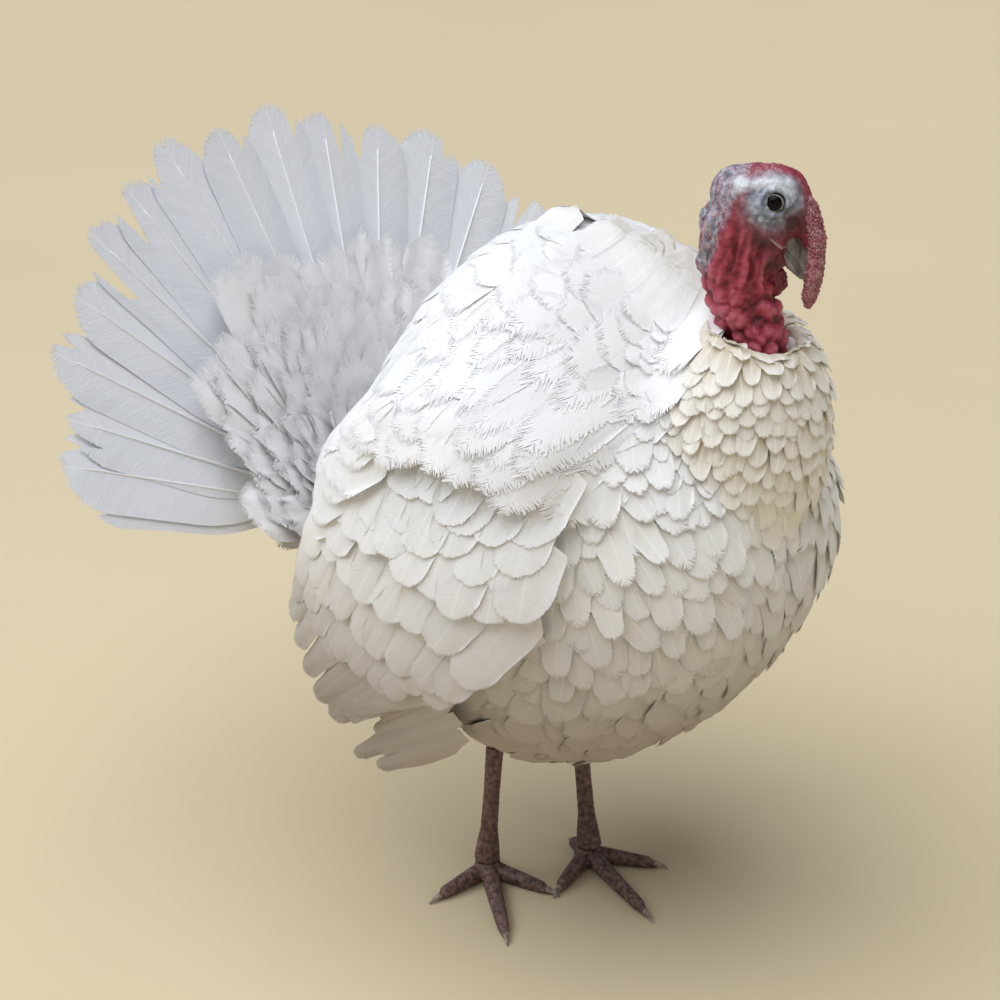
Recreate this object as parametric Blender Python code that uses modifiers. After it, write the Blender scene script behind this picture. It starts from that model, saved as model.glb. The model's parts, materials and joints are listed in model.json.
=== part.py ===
"""Strutting tom turkey decoy, life size, built as an assembly.

Metres, +Z up. +X is the way the bird faces, +Y is its left. The origin is on the ground, under the middle of
the whole object. A hollow two-piece body hangs on an aluminium spine, which carries the neck post, the leg
bracket and the tail bracket. Plumage pads cover the body, the wings bolt to it, the head turns on the neck
post, and the tail fan tilts on its bracket and folds like a hand fan on one pin.
"""

import math

import bmesh
import bpy
import numpy as np
from mathutils import Matrix, Vector

# ---------------------------------------------------------------- driving dimensions
# Body form: stations from rump to breast, as (x, height of back, height of belly, half width).
STATIONS = [
    (-0.118, 0.425, 0.400, 0.010),
    (-0.112, 0.480, 0.345, 0.055),
    (-0.088, 0.545, 0.300, 0.108),
    (-0.035, 0.632, 0.245, 0.165),
    (0.035, 0.698, 0.205, 0.206),
    (0.105, 0.708, 0.190, 0.222),
    (0.175, 0.672, 0.205, 0.212),
    (0.238, 0.612, 0.250, 0.184),
    (0.290, 0.562, 0.310, 0.144),
    (0.324, 0.515, 0.375, 0.090),
    (0.336, 0.455, 0.435, 0.010),
]
SECTION_POWER = 2.15  # 2 is an ellipse, more is fuller
PLUMAGE = 0.008  # thickness of a plumage pad
SHELL_INSET = 0.0125  # plumage surface to shell surface
SHELL = 0.003
PAD_GAP = 0.0012  # half the gap between neighbouring pads
SEAM = 0.0004  # half the gap between the two body halves

NECK_X = 0.287
HEAD_YAW = 28.0  # degrees the head is turned to the bird's left at rest
POST_R = 0.006
POST_BOTTOM, POST_TOP = 0.425, 0.700
NECK_HOLE_R = 0.037
RUFF_LEAN = 15.0  # degrees the neck ruff leans forward

SPINE_FRONT = Vector((0.314, 0.0, 0.457))
SPINE_REAR = Vector((-0.098, 0.0, 0.362))
SPINE_R, SPINE_WALL = 0.011, 0.002

HIP_X, HIP_Y, HIP_Z = 0.046, 0.046, 0.345
ROD_R = 0.004
ANKLE_Z = 0.034
ANKLES = {"right": Vector((0.010, -0.032, ANKLE_Z)), "left": Vector((0.073, 0.057, ANKLE_Z))}
FOOT_HEADINGS = {"right": -41.0, "left": -22.0}  # degrees from +X, negative towards the bird's right
TOES = [(0.0, 0.120), (52.0, 0.074), (-56.0, 0.070), (176.0, 0.038)]  # (angle from heading, length)
SOLE_R = 0.015

HUB = Vector((-0.145, 0.0, 0.374))  # centre of the fan pin at the base plate
FAN_LEAN = 43.0  # degrees the fan's plane leans back from upright
FAN_CUP = 16.0  # degrees the feathers reach forward of that plane
FEATHERS = 18
FAN_STEP = 10.4  # degrees between neighbouring tail feathers
FAN_BUNCH = 0.16  # share of its angle that the outermost feather gives up, so the outer ones bunch
FEATHER_LENGTH = 0.414
BLADE, BLADE_PITCH = 0.0010, 0.0016
FAN_PIN_R = 0.003
TAB_R = 0.012
TILT_PIVOT = Vector((-0.132, 0.0, 0.331))
TAIL_PIN_R = 0.004

RUN = 0.0003  # radial running clearance
OBJECT_SHIFT = Vector((-0.0024, 0.0, 0.0))  # puts the origin under the middle of the bounding box


# ---------------------------------------------------------------- scene helpers
def clear_scene():
    for obj in list(bpy.data.objects):
        bpy.data.objects.remove(obj)


def collection(name):
    made = bpy.data.collections.new(name)
    bpy.context.scene.collection.children.link(made)
    return made


def material(name, colour, roughness, metallic=0.0):
    made = bpy.data.materials.new(name)
    made.use_nodes = True
    shader = made.node_tree.nodes["Principled BSDF"]
    shader.inputs["Base Color"].default_value = (*colour, 1.0)
    shader.inputs["Roughness"].default_value = roughness
    shader.inputs["Metallic"].default_value = metallic
    return made


clear_scene()
PARTS = collection("turkey_decoy")
CUTTERS = collection("cutters")

WHITE = material("white_feather", (0.85, 0.84, 0.82), 0.80)
VANE = material("tail_vane", (0.80, 0.81, 0.83), 0.65)
SKIN = material("red_skin", (0.36, 0.05, 0.07), 0.55)
HORN = material("beak_horn", (0.42, 0.36, 0.34), 0.45)
EYE = material("eye_glass", (0.02, 0.012, 0.01), 0.05)
SHANK = material("leg_rubber", (0.16, 0.09, 0.09), 0.60)
PLASTIC = material("body_plastic", (0.75, 0.74, 0.70), 0.55)
STEEL = material("zinc_steel", (0.60, 0.60, 0.62), 0.35, 1.0)
ALLOY = material("aluminium", (0.75, 0.76, 0.78), 0.40, 1.0)

ROOT = bpy.data.objects.new("decoy_frame", None)
PARTS.objects.link(ROOT)
ROOT.location = OBJECT_SHIFT


def place(obj, finish, cutter=False):
    """Puts an object in its collection, under the frame's empty, with its material."""
    for owner in list(obj.users_collection):
        owner.objects.unlink(obj)
    (CUTTERS if cutter else PARTS).objects.link(obj)
    obj.parent = ROOT
    if cutter:
        obj.hide_render = True
        obj.display_type = "WIRE"
    if finish is not None:
        obj.data.materials.clear()
        obj.data.materials.append(finish)
    return obj


def mesh_object(name, points, faces, finish, cutter=False):
    mesh = bpy.data.meshes.new(name)
    mesh.from_pydata([tuple(p) for p in points], [], faces)
    mesh.validate()
    return place(bpy.data.objects.new(name, mesh), finish, cutter)


def face_out(obj):
    """Turns the faces of a closed mesh outwards."""
    work = bmesh.new()
    work.from_mesh(obj.data)
    bmesh.ops.recalc_face_normals(work, faces=work.faces)
    work.to_mesh(obj.data)
    work.free()
    return obj


def along(axis):
    """The rotation that takes +Z to this direction."""
    return Vector(axis).to_track_quat("Z", "Y").to_matrix().to_4x4()


def axes(z_axis, y_axis):
    """The rotation whose local Z and Y run these ways."""
    z, y = Vector(z_axis).normalized(), Vector(y_axis).normalized()
    return Matrix((y.cross(z), y, z)).transposed().to_4x4()


def solidify(obj, thickness, offset=-1.0):
    shell = obj.modifiers.new("wall", "SOLIDIFY")
    shell.thickness = thickness
    shell.offset = offset


def boolean(obj, other, operation):
    step = obj.modifiers.new(operation.lower(), "BOOLEAN")
    step.operation = operation
    step.object = other
    step.solver = "EXACT"


def cut(obj, *others):
    for other in others:
        boolean(obj, other, "DIFFERENCE")


def turned(name, profile, centre, axis, finish, steps=20, cutter=False):
    """A round piece. The profile is (radius, height) pairs down the outer side. It starts and ends at radius 0
    for a solid piece, or it is a closed loop for a ring."""
    ring = profile[0][0] > 0
    points = [(r, 0.0, h) for r, h in profile]
    edges = [(i, i + 1) for i in range(len(points) - 1)]
    if ring:
        edges.append((len(points) - 1, 0))
    mesh = bpy.data.meshes.new(name)
    mesh.from_pydata(points, edges, [])
    obj = place(bpy.data.objects.new(name, mesh), finish, cutter)
    obj.matrix_local = Matrix.Translation(Vector(centre)) @ along(axis)
    screw = obj.modifiers.new("turn", "SCREW")
    screw.steps = screw.render_steps = steps
    screw.use_merge_vertices = True
    screw.merge_threshold = 0.00001
    screw.use_smooth_shade = False
    return obj


def cylinder(name, start, end, radius, finish, steps=16, cutter=False):
    run = Vector(end) - Vector(start)
    profile = [(0, run.length), (radius, run.length), (radius, 0), (0, 0)]
    return turned(name, profile, start, run, finish, steps, cutter)


def block(name, centre, size, finish, turn=None, cutter=False):
    """A box with its scale applied."""
    bpy.ops.mesh.primitive_cube_add(size=1.0)
    obj = bpy.context.object
    obj.name = name
    obj.data.transform(Matrix.Diagonal((*size, 1.0)))
    place(obj, finish, cutter)
    obj.matrix_local = Matrix.Translation(Vector(centre)) @ (turn or Matrix.Identity(4))
    return obj


def chamfer(obj, width):
    edge = obj.modifiers.new("edge", "BEVEL")
    edge.width = width
    edge.segments = 1
    edge.limit_method = "ANGLE"
    edge.angle_limit = math.radians(50)


def spline(values, t):
    """A Catmull-Rom curve through rows of numbers, at parameter t in rows."""
    rows = np.asarray(values, float)
    last = len(rows) - 1
    t = min(max(t, 0.0), last - 1e-9)
    i = int(t)
    f = t - i
    a, b, c, d = (rows[min(max(i + k, 0), last)] for k in (-1, 0, 1, 2))
    return 0.5 * (2 * b + (c - a) * f + (2 * a - 5 * b + 4 * c - d) * f**2 + (3 * b - a - 3 * c + d) * f**3)


def loft(name, sections, finish, around=12, cutter=False, side=None, grow=0.0):
    """A closed body through sections (centre, direction, half height, half width), with flat ends. Heights lie in
    the plane square to side, widths along it."""
    points, faces = [], []
    for n, (centre, direction, high, wide) in enumerate(sections):
        forward = Vector(direction).normalized()
        across = side or Vector((0, 1, 0))
        across = (across - forward * across.dot(forward)).normalized()
        upward = across.cross(forward)
        end = -1 if n == 0 else 1 if n == len(sections) - 1 else 0
        for k in range(around):
            a = 2 * math.pi * k / around
            reach = across * (wide + grow) * math.sin(a) + upward * (high + grow) * math.cos(a)
            points.append(Vector(centre) + reach + forward * grow * end)
    for s in range(len(sections) - 1):
        for k in range(around):
            n = (k + 1) % around
            faces.append((s * around + k, s * around + n, (s + 1) * around + n, (s + 1) * around + k))
    faces.append(tuple(range(around))[::-1])
    faces.append(tuple((len(sections) - 1) * around + k for k in range(around)))
    return face_out(mesh_object(name, points, faces, finish, cutter))


# ---------------------------------------------------------------- body form
MID_X = (STATIONS[0][0] + STATIONS[-1][0]) / 2
HALF_LENGTH = (STATIONS[-1][0] - STATIONS[0][0]) / 2


def form_point(s, phi, inset=0.0):
    """A point on the body: s in stations from rump to breast, phi in degrees from the top, right side positive."""
    x, top, bottom, wide = spline(STATIONS, s)
    x = MID_X + (x - MID_X) * (1 - inset / HALF_LENGTH)
    high = max((top - bottom) / 2 - inset, 0.002)
    wide = max(wide - inset, 0.002)
    a = math.radians(phi)
    power = 2 / SECTION_POWER
    y = -wide * math.copysign(abs(math.sin(a)) ** power, math.sin(a))
    z = (top + bottom) / 2 + high * math.copysign(abs(math.cos(a)) ** power, math.cos(a))
    return Vector((x, y, z))


def form_patch(name, s_range, phi_range, wall, finish, inset=0.0, rows=8, columns=10):
    """A curved wall that follows the body form between two stations and two angles."""
    closed = abs(phi_range[1] - phi_range[0]) >= 360
    count = columns if closed else columns + 1
    points, faces = [], []
    for i in range(rows + 1):
        s = s_range[0] + (s_range[1] - s_range[0]) * i / rows
        for k in range(count):
            phi = phi_range[0] + (phi_range[1] - phi_range[0]) * k / columns
            points.append(form_point(s, phi, inset))
    for i in range(rows):
        for k in range(columns):
            n = (k + 1) % count
            faces.append((i * count + k, (i + 1) * count + k, (i + 1) * count + n, i * count + n))
    obj = mesh_object(name, points, faces, finish)
    middle = obj.data.polygons[len(faces) // 2]
    centre = Vector(form_point(5, 0)) * 0.5 + Vector(form_point(5, 180)) * 0.5
    if middle.normal.dot(middle.center - centre) < 0:
        obj.data.flip_normals()
    solidify(obj, wall)
    return obj


def form_solid(name, inset, lengthwise=24, around=24):
    """The whole body form as one closed cutter."""
    points = [
        form_point(10 * i / lengthwise, 360 * k / around, inset) for i in range(lengthwise + 1) for k in range(around)
    ]
    faces = [tuple(range(around)), tuple(lengthwise * around + k for k in range(around))]
    for i in range(lengthwise):
        for k in range(around):
            n = (k + 1) % around
            faces.append((i * around + k, (i + 1) * around + k, (i + 1) * around + n, i * around + n))
    return face_out(mesh_object(name, points, faces, None, True))


# Cutters shared by the pads and shells.
NECK_HOLE = cylinder("neck_hole", (NECK_X, 0, 0.50), (NECK_X, 0, 0.75), NECK_HOLE_R, None, 20, True)
TAIL_SLOT = block("tail_slot", (-0.120, 0, 0.340), (0.080, 0.048, 0.070), None, cutter=True)


RUFF_BORE = cylinder("ruff_bore", (NECK_X, 0, 0.45), (NECK_X, 0, 0.75), NECK_HOLE_R, None, 20, True)


def hip(side):
    return Vector((HIP_X, -HIP_Y if side == "right" else HIP_Y, HIP_Z))


LEG_HOLES = {
    side: cylinder(
        f"leg_hole_{side}",
        ANKLES[side].lerp(hip(side), 0.25),
        ANKLES[side].lerp(hip(side), 0.85),
        0.0125,
        None,
        14,
        True,
    )
    for side in ("right", "left")
}

BACK_FROM, BREAST_FROM = 2.2, 6.8
TOP_EDGE, LOW_EDGE = 52.0, 128.0


def build_shells():
    for side, low, high in (("right", 0.0, 180.0), ("left", 180.0, 360.0)):
        half = form_patch(f"body_shell_{side}", (0.75, 9.9), (low, high), SHELL, PLASTIC, SHELL_INSET, 14, 12)
        sign = -1 if side == "right" else 1
        for vertex in half.data.vertices:
            vertex.co.y += sign * SEAM
        cut(half, NECK_HOLE, TAIL_SLOT, LEG_HOLES[side])


def build_plumage():
    """Pads of feathered pelt, each its own piece, laid edge to edge over the shells."""
    gap_s, gap_phi = 0.03, 0.6
    rear, front = BACK_FROM + gap_s, BREAST_FROM - gap_s
    form_patch("back_plumage", (rear, front), (-TOP_EDGE + gap_phi, TOP_EDGE - gap_phi), PLUMAGE, WHITE)
    form_patch("flank_plumage_right", (rear, front), (TOP_EDGE + gap_phi, LOW_EDGE - gap_phi), PLUMAGE, WHITE)
    form_patch("flank_plumage_left", (rear, front), (-LOW_EDGE + gap_phi, -TOP_EDGE - gap_phi), PLUMAGE, WHITE)
    belly = form_patch(
        "belly_plumage", (rear, front), (LOW_EDGE + gap_phi, 360 - LOW_EDGE - gap_phi), PLUMAGE, WHITE
    )
    cut(belly, *LEG_HOLES.values())
    breast = form_patch("breast_plumage", (BREAST_FROM + gap_s, 9.95), (0, 360), PLUMAGE, WHITE, 0, 8, 24)
    cut(breast, NECK_HOLE)
    rump = form_patch("rump_plumage", (0.9, BACK_FROM - gap_s), (0, 360), PLUMAGE, WHITE, 0, 5, 24)
    cut(rump, TAIL_SLOT)


def build_ruff():
    """The stand-up collar of neck feathers, trimmed to sit on the breast."""
    profile = [(0.046, 0.085), (0.056, 0.070), (0.072, 0.040), (0.084, 0.000), (0.088, -0.040), (0.080, -0.085),
               (0.030, -0.085), (0.030, 0.085)]
    lean = Vector((math.sin(math.radians(RUFF_LEAN)), 0, math.cos(math.radians(RUFF_LEAN))))
    ruff = turned("neck_ruff", profile, (NECK_X - 0.014, 0, 0.570), lean, WHITE, 24)
    cut(ruff, form_solid("breast_form", -0.0018), RUFF_BORE)


# ---------------------------------------------------------------- inner frame
def spine_at(x):
    t = (x - SPINE_REAR.x) / (SPINE_FRONT.x - SPINE_REAR.x)
    return SPINE_REAR.lerp(SPINE_FRONT, t)


def build_frame():
    run = SPINE_FRONT - SPINE_REAR
    inner = SPINE_R - SPINE_WALL
    spine = turned(
        "spine_tube",
        [(SPINE_R, run.length), (SPINE_R, 0), (inner, 0), (inner, run.length)],
        SPINE_REAR,
        run,
        ALLOY,
        20,
    )
    tube_cut = cylinder(
        "tube_cut", SPINE_REAR - run * 0.2, SPINE_FRONT + run * 0.2, SPINE_R + RUN, None, 20, True
    )
    # The neck post stands in a hole drilled across the spine's front end.
    post_cut = cylinder("post_cut", (NECK_X, 0, 0.35), (NECK_X, 0, 0.60), POST_R + RUN, None, 16, True)
    cut(spine, post_cut)
    # The leg bracket clamps round the spine and carries both leg rods.
    saddle = spine_at(HIP_X)
    bracket = block("leg_bracket", (HIP_X, 0, HIP_Z), (0.036, 2 * HIP_Y + 0.030, 0.020), ALLOY)
    riser = block(
        "bracket_riser", (HIP_X, 0, (HIP_Z + saddle.z + 0.016) / 2), (0.036, 0.036, saddle.z + 0.016 - HIP_Z), None,
        cutter=True,
    )
    boolean(bracket, riser, "UNION")
    cut(bracket, tube_cut)
    for side in ("right", "left"):
        top = hip(side) + (hip(side) - ANKLES[side]).normalized() * 0.03
        bore = cylinder(f"rod_bore_{side}", ANKLES[side], top, ROD_R + RUN, None, 12, True)
        cut(bracket, bore)
        foot_end = ANKLES[side] + (ANKLES[side] - hip(side)).normalized() * 0.010
        cylinder(f"leg_rod_{side}", foot_end, hip(side) + (hip(side) - ANKLES[side]).normalized() * 0.012,
                 ROD_R, STEEL, 12)
    return tube_cut


def build_neck_post():
    cylinder("neck_post", (NECK_X, 0, POST_BOTTOM), (NECK_X, 0, POST_TOP), POST_R, STEEL, 16)


# ---------------------------------------------------------------- legs and feet
def toe(name, ankle, heading, length):
    a = math.radians(heading)
    out = Vector((math.cos(a), math.sin(a), 0))
    stops = [(0.03, 0.0115, 0.0092), (0.27, 0.0095, 0.0085), (0.6, 0.0075, 0.0072), (0.86, 0.0062, 0.0060)]
    sections = []
    base = Vector((ankle.x, ankle.y, 0))
    for share, height, radius in stops:
        sections.append((base + out * length * share + Vector((0, 0, height)), out, radius, radius))
    tip = base + out * length + Vector((0, 0, 0.0025))
    sections.append((tip, out + Vector((0, 0, -0.25)), 0.0018, 0.0022))
    return loft(name, sections, None, 10, True)


def build_leg(side, floor):
    ankle, top = ANKLES[side], hip(side)
    up = (top - ankle).normalized()
    lengths = [(-0.012, 0.0130), (0.004, 0.0115), (0.026, 0.0085), (0.070, 0.0078), (0.130, 0.0086)]
    sections = [(ankle + up * h, up, r, r) for h, r in lengths]
    shank = loft(f"leg_{side}", sections, SHANK, 12)
    base = Vector((ankle.x, ankle.y, 0))
    pad = loft(
        f"foot_pad_{side}",
        [
            (base + Vector((0, 0, -0.002)), (0, 0, 1), SOLE_R, SOLE_R),
            (base + Vector((0, 0, 0.010)), (0, 0, 1), SOLE_R - 0.001, SOLE_R - 0.001),
            (base + Vector((0, 0, 0.020)), (0, 0, 1), 0.0125, 0.0125),
        ],
        None,
        14,
        True,
    )
    foot = loft(
        f"foot_{side}",
        [
            (base + Vector((0, 0, -0.003)), (0, 0, 1), SOLE_R * 0.9, SOLE_R * 0.9),
            (base + Vector((0, 0, 0.0185)), (0, 0, 1), 0.0125, 0.0125),
        ],
        SHANK,
        14,
    )
    boolean(foot, pad, "UNION")
    for n, (turn, length) in enumerate(TOES):
        boolean(foot, toe(f"toe_{side}_{n}", ankle, FOOT_HEADINGS[side] + turn, length), "UNION")
    cut(foot, floor)
    bore = cylinder(
        f"foot_bore_{side}", ankle - up * 0.035, ankle + up * 0.30, ROD_R + RUN, None, 12, True
    )
    cut(foot, bore)
    cut(shank, bore)
    level = block(f"ankle_cut_{side}", base + Vector((0, 0, -0.0305 + 0.0)), (0.1, 0.1, 0.1), None, cutter=True)
    level.location.z = 0.0208 - 0.05
    cut(shank, level)


# ---------------------------------------------------------------- head
def head_at(forward, right, z):
    """A point from the neck's axis: forward and to the right in the head's own heading."""
    yaw = math.radians(HEAD_YAW)
    x = NECK_X + forward * math.cos(yaw) + right * math.sin(yaw)
    return Vector((x, forward * math.sin(yaw) - right * math.cos(yaw), z))


HEAD_RIGHT = head_at(0, 1, 0) - head_at(0, 0, 0)
HEAD_SECTIONS = [  # forward, height, slope forward and up, half depth, half width
    (0.006, 0.600, -0.20, 1.00, 0.0235, 0.0245),
    (0.002, 0.645, -0.28, 1.00, 0.0245, 0.0245),
    (-0.011, 0.680, -0.25, 1.00, 0.0280, 0.0255),
    (-0.018, 0.710, -0.05, 1.00, 0.0310, 0.0260),
    (-0.017, 0.738, 0.35, 1.00, 0.0345, 0.0275),
    (-0.004, 0.762, 1.00, 0.60, 0.0350, 0.0285),
    (0.014, 0.767, 1.00, -0.05, 0.0300, 0.0270),
    (0.030, 0.757, 1.00, -0.65, 0.0225, 0.0200),
    (0.037, 0.750, 1.00, -0.90, 0.0130, 0.0120),
]
BEAK_SECTIONS = [  # forward, right, height, slope forward and up, half depth, half width
    (0.022, 0.0, 0.738, 0.90, -0.70, 0.0120, 0.0105),
    (0.034, 0.0, 0.724, 0.80, -0.90, 0.0092, 0.0080),
    (0.0415, 0.0, 0.709, 0.40, -1.00, 0.0058, 0.0050),
    (0.0425, 0.0, 0.694, -0.05, -1.00, 0.0014, 0.0014),
]
BILL_SECTIONS = [
    (0.017, 0.0, 0.7275, 0.90, -0.80, 0.0058, 0.0078),
    (0.029, 0.0, 0.711, 0.80, -0.80, 0.0052, 0.0062),
    (0.0390, 0.0, 0.6985, 0.60, -0.80, 0.0016, 0.0020),
]
SNOOD_SECTIONS = [
    (0.030, 0.0000, 0.778, 0.80, -0.45, 0.0050, 0.0055),
    (0.0435, 0.0060, 0.762, 0.60, -1.00, 0.0075, 0.0075),
    (0.0500, 0.0150, 0.738, 0.10, -1.00, 0.0088, 0.0085),
    (0.0500, 0.0180, 0.710, -0.10, -1.00, 0.0086, 0.0084),
    (0.0465, 0.0180, 0.688, -0.10, -1.00, 0.0074, 0.0074),
    (0.0460, 0.0180, 0.678, 0.00, -1.00, 0.0030, 0.0030),
]
WATTLE_SECTIONS = [
    (0.009, 0.0, 0.7095, 0.50, -1.00, 0.0060, 0.0048),
    (0.0160, 0.0, 0.7015, 0.30, -1.00, 0.0095, 0.0066),
    (0.0185, 0.0, 0.692, -0.10, -1.00, 0.0095, 0.0070),
    (0.0150, 0.0, 0.682, -0.30, -1.00, 0.0035, 0.0035),
]


def head_loft(name, rows, finish, around=12, cutter=False, grow=0.0):
    sections = [
        (head_at(f, r, z), head_at(df, 0, 0) - head_at(0, 0, 0) + Vector((0, 0, dz)), high, wide)
        for f, r, z, df, dz, high, wide in rows
    ]
    return loft(name, sections, finish, around, cutter, HEAD_RIGHT, grow)


def build_head():
    """The head and neck moulding, with pockets for the pieces set into it, standing on the neck post."""
    skin = head_loft("head_skin", [(f, 0.0, *rest) for f, *rest in HEAD_SECTIONS], SKIN, 18)
    bore = cylinder("head_bore", (NECK_X, 0, 0.55), (NECK_X, 0, POST_TOP + 0.0004), POST_R + RUN, None, 16, True)
    cut(skin, bore)
    beak = head_loft("beak", BEAK_SECTIONS, HORN)
    boolean(beak, head_loft("lower_bill", BILL_SECTIONS, None, 10, True), "UNION")
    head_loft("snood", SNOOD_SECTIONS, SKIN)
    head_loft("wattle", WATTLE_SECTIONS, SKIN)
    pockets = {"beak": BEAK_SECTIONS, "bill": BILL_SECTIONS, "snood": SNOOD_SECTIONS, "wattle": WATTLE_SECTIONS}
    for name, rows in pockets.items():
        around = 10 if name == "bill" else 12
        cut(skin, head_loft(f"{name}_pocket", rows, None, around, True, 0.0004))
    for side, sign in (("right", 1), ("left", -1)):
        centre = head_at(0.0145, sign * 0.0200, 0.770)
        arc = [math.radians(a) for a in range(90, -91, -18)]
        for name, radius, cutter in ((f"eye_{side}", 0.0090, False), (f"eye_pocket_{side}", 0.0094, True)):
            profile = [(radius * math.cos(a) if abs(a) < 1.57 else 0.0, radius * math.sin(a)) for a in arc]
            ball = turned(name, profile, centre, HEAD_RIGHT * sign, None if cutter else EYE, 16, cutter)
            if cutter:
                cut(skin, ball)


# ---------------------------------------------------------------- tail fan
W_AXIS = Vector((math.cos(math.radians(FAN_LEAN)), 0.0, math.sin(math.radians(FAN_LEAN))))
U_AXIS = Vector((-math.sin(math.radians(FAN_LEAN)), 0.0, math.cos(math.radians(FAN_LEAN))))
V_AXIS = Vector((0.0, 1.0, 0.0))
CUP = math.tan(math.radians(FAN_CUP))
BEND_R = 0.030  # the blades bend forward from this radius out
BASE_PLATE = 0.003
STACK_FRONT = -BASE_PLATE / 2 - 0.0004


def fan_point(u, v, w):
    """Fan coordinates to the row frame: u up the fan, v to the bird's left, w forward along the pin."""
    return HUB + U_AXIS * u + V_AXIS * v + W_AXIS * w


def fan_angle(k):
    """Degrees of feather k from the fan's middle, left positive, k from 1 at the right."""
    steps = k - (FEATHERS + 1) / 2
    end = (FEATHERS - 1) / 2
    return steps * FAN_STEP * (1 - FAN_BUNCH * (abs(steps) / end) ** 6)


def fan_layer(k):
    """How deep feather k lies in the stack: the middle pair in front, the outer pair at the back."""
    right = k <= FEATHERS // 2
    pair = FEATHERS // 2 - k if right else k - FEATHERS // 2 - 1
    return 2 * pair + (0 if right else 1)


BLADE_HALF_WIDTHS = [  # along the feather, half width
    (BEND_R, 0.0030),
    (0.095, 0.0034),
    (0.112, 0.0130),
    (0.160, 0.0240),
    (0.240, 0.0315),
    (0.330, 0.0340),
    (0.380, 0.0300),
    (0.400, 0.0190),
    (FEATHER_LENGTH, 0.0060),
]


def build_feather(k):
    """A blade: an eye on the pin, a quill and a vane, bent forward into a shallow cone where it leaves the stack."""
    hole_r = FAN_PIN_R + RUN
    flat, faces = [], []
    for radius in (hole_r, TAB_R):
        flat += [(radius * math.cos(a), radius * math.sin(a)) for a in (math.radians(15 + 30 * n) for n in range(12))]
    for n in range(12):
        m = (n + 1) % 12
        faces.append((n, 12 + n, 12 + m, m))
    rows = [(11 + 12, None, 12)]  # the eye's edge that the quill grows from
    for r, half in BLADE_HALF_WIDTHS:
        first = len(flat)
        flat += [(r, -half), (r, 0.0), (r, half)]
        rows.append((first, first + 1, first + 2))
    for before, after in zip(rows, rows[1:]):
        if before[1] is None:
            faces.append((before[0], after[0], after[1], after[2], before[2]))
            continue
        faces += [(before[c], after[c], after[c + 1], before[c + 1]) for c in (0, 1)]
    angle = math.radians(fan_angle(k))
    level = STACK_FRONT - BLADE / 2 - fan_layer(k) * BLADE_PITCH
    points = []
    for r, t in flat:
        w = level + CUP * max(math.hypot(r, t) - BEND_R, 0.0)
        u = r * math.cos(angle) - t * math.sin(angle)
        v = r * math.sin(angle) + t * math.cos(angle)
        points.append(fan_point(u, v, w) - HUB)
    feather = mesh_object(f"tail_feather_{k:02d}", points, faces, VANE)
    feather.location = HUB
    if feather.data.polygons[0].normal.dot(W_AXIS) < 0:
        feather.data.flip_normals()
    solidify(feather, BLADE, 0.0)
    return feather


def fan_dish(name, level, reach, thickness, spread, rise=CUP, rows=4, columns=14):
    """A fan-shaped pad on the pin that follows the feathers' cup."""
    radii = [FAN_PIN_R + RUN, 0.018, BEND_R] + [BEND_R + (reach - BEND_R) * (i + 1) / rows for i in range(rows)]
    points, faces = [], []
    for r in radii:
        for k in range(columns + 1):
            a = math.radians(-spread + 2 * spread * k / columns)
            w = level + rise * max(r - BEND_R, 0.0)
            points.append(fan_point(r * math.cos(a), r * math.sin(a), w) - HUB)
    for i in range(len(radii) - 1):
        for k in range(columns):
            c = i * (columns + 1) + k
            faces.append((c, c + columns + 1, c + columns + 2, c + 1))
    pad = mesh_object(name, points, faces, WHITE)
    pad.location = HUB
    if pad.data.polygons[0].normal.dot(W_AXIS) < 0:
        pad.data.flip_normals()
    solidify(pad, thickness, 0.0)
    return pad


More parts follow.
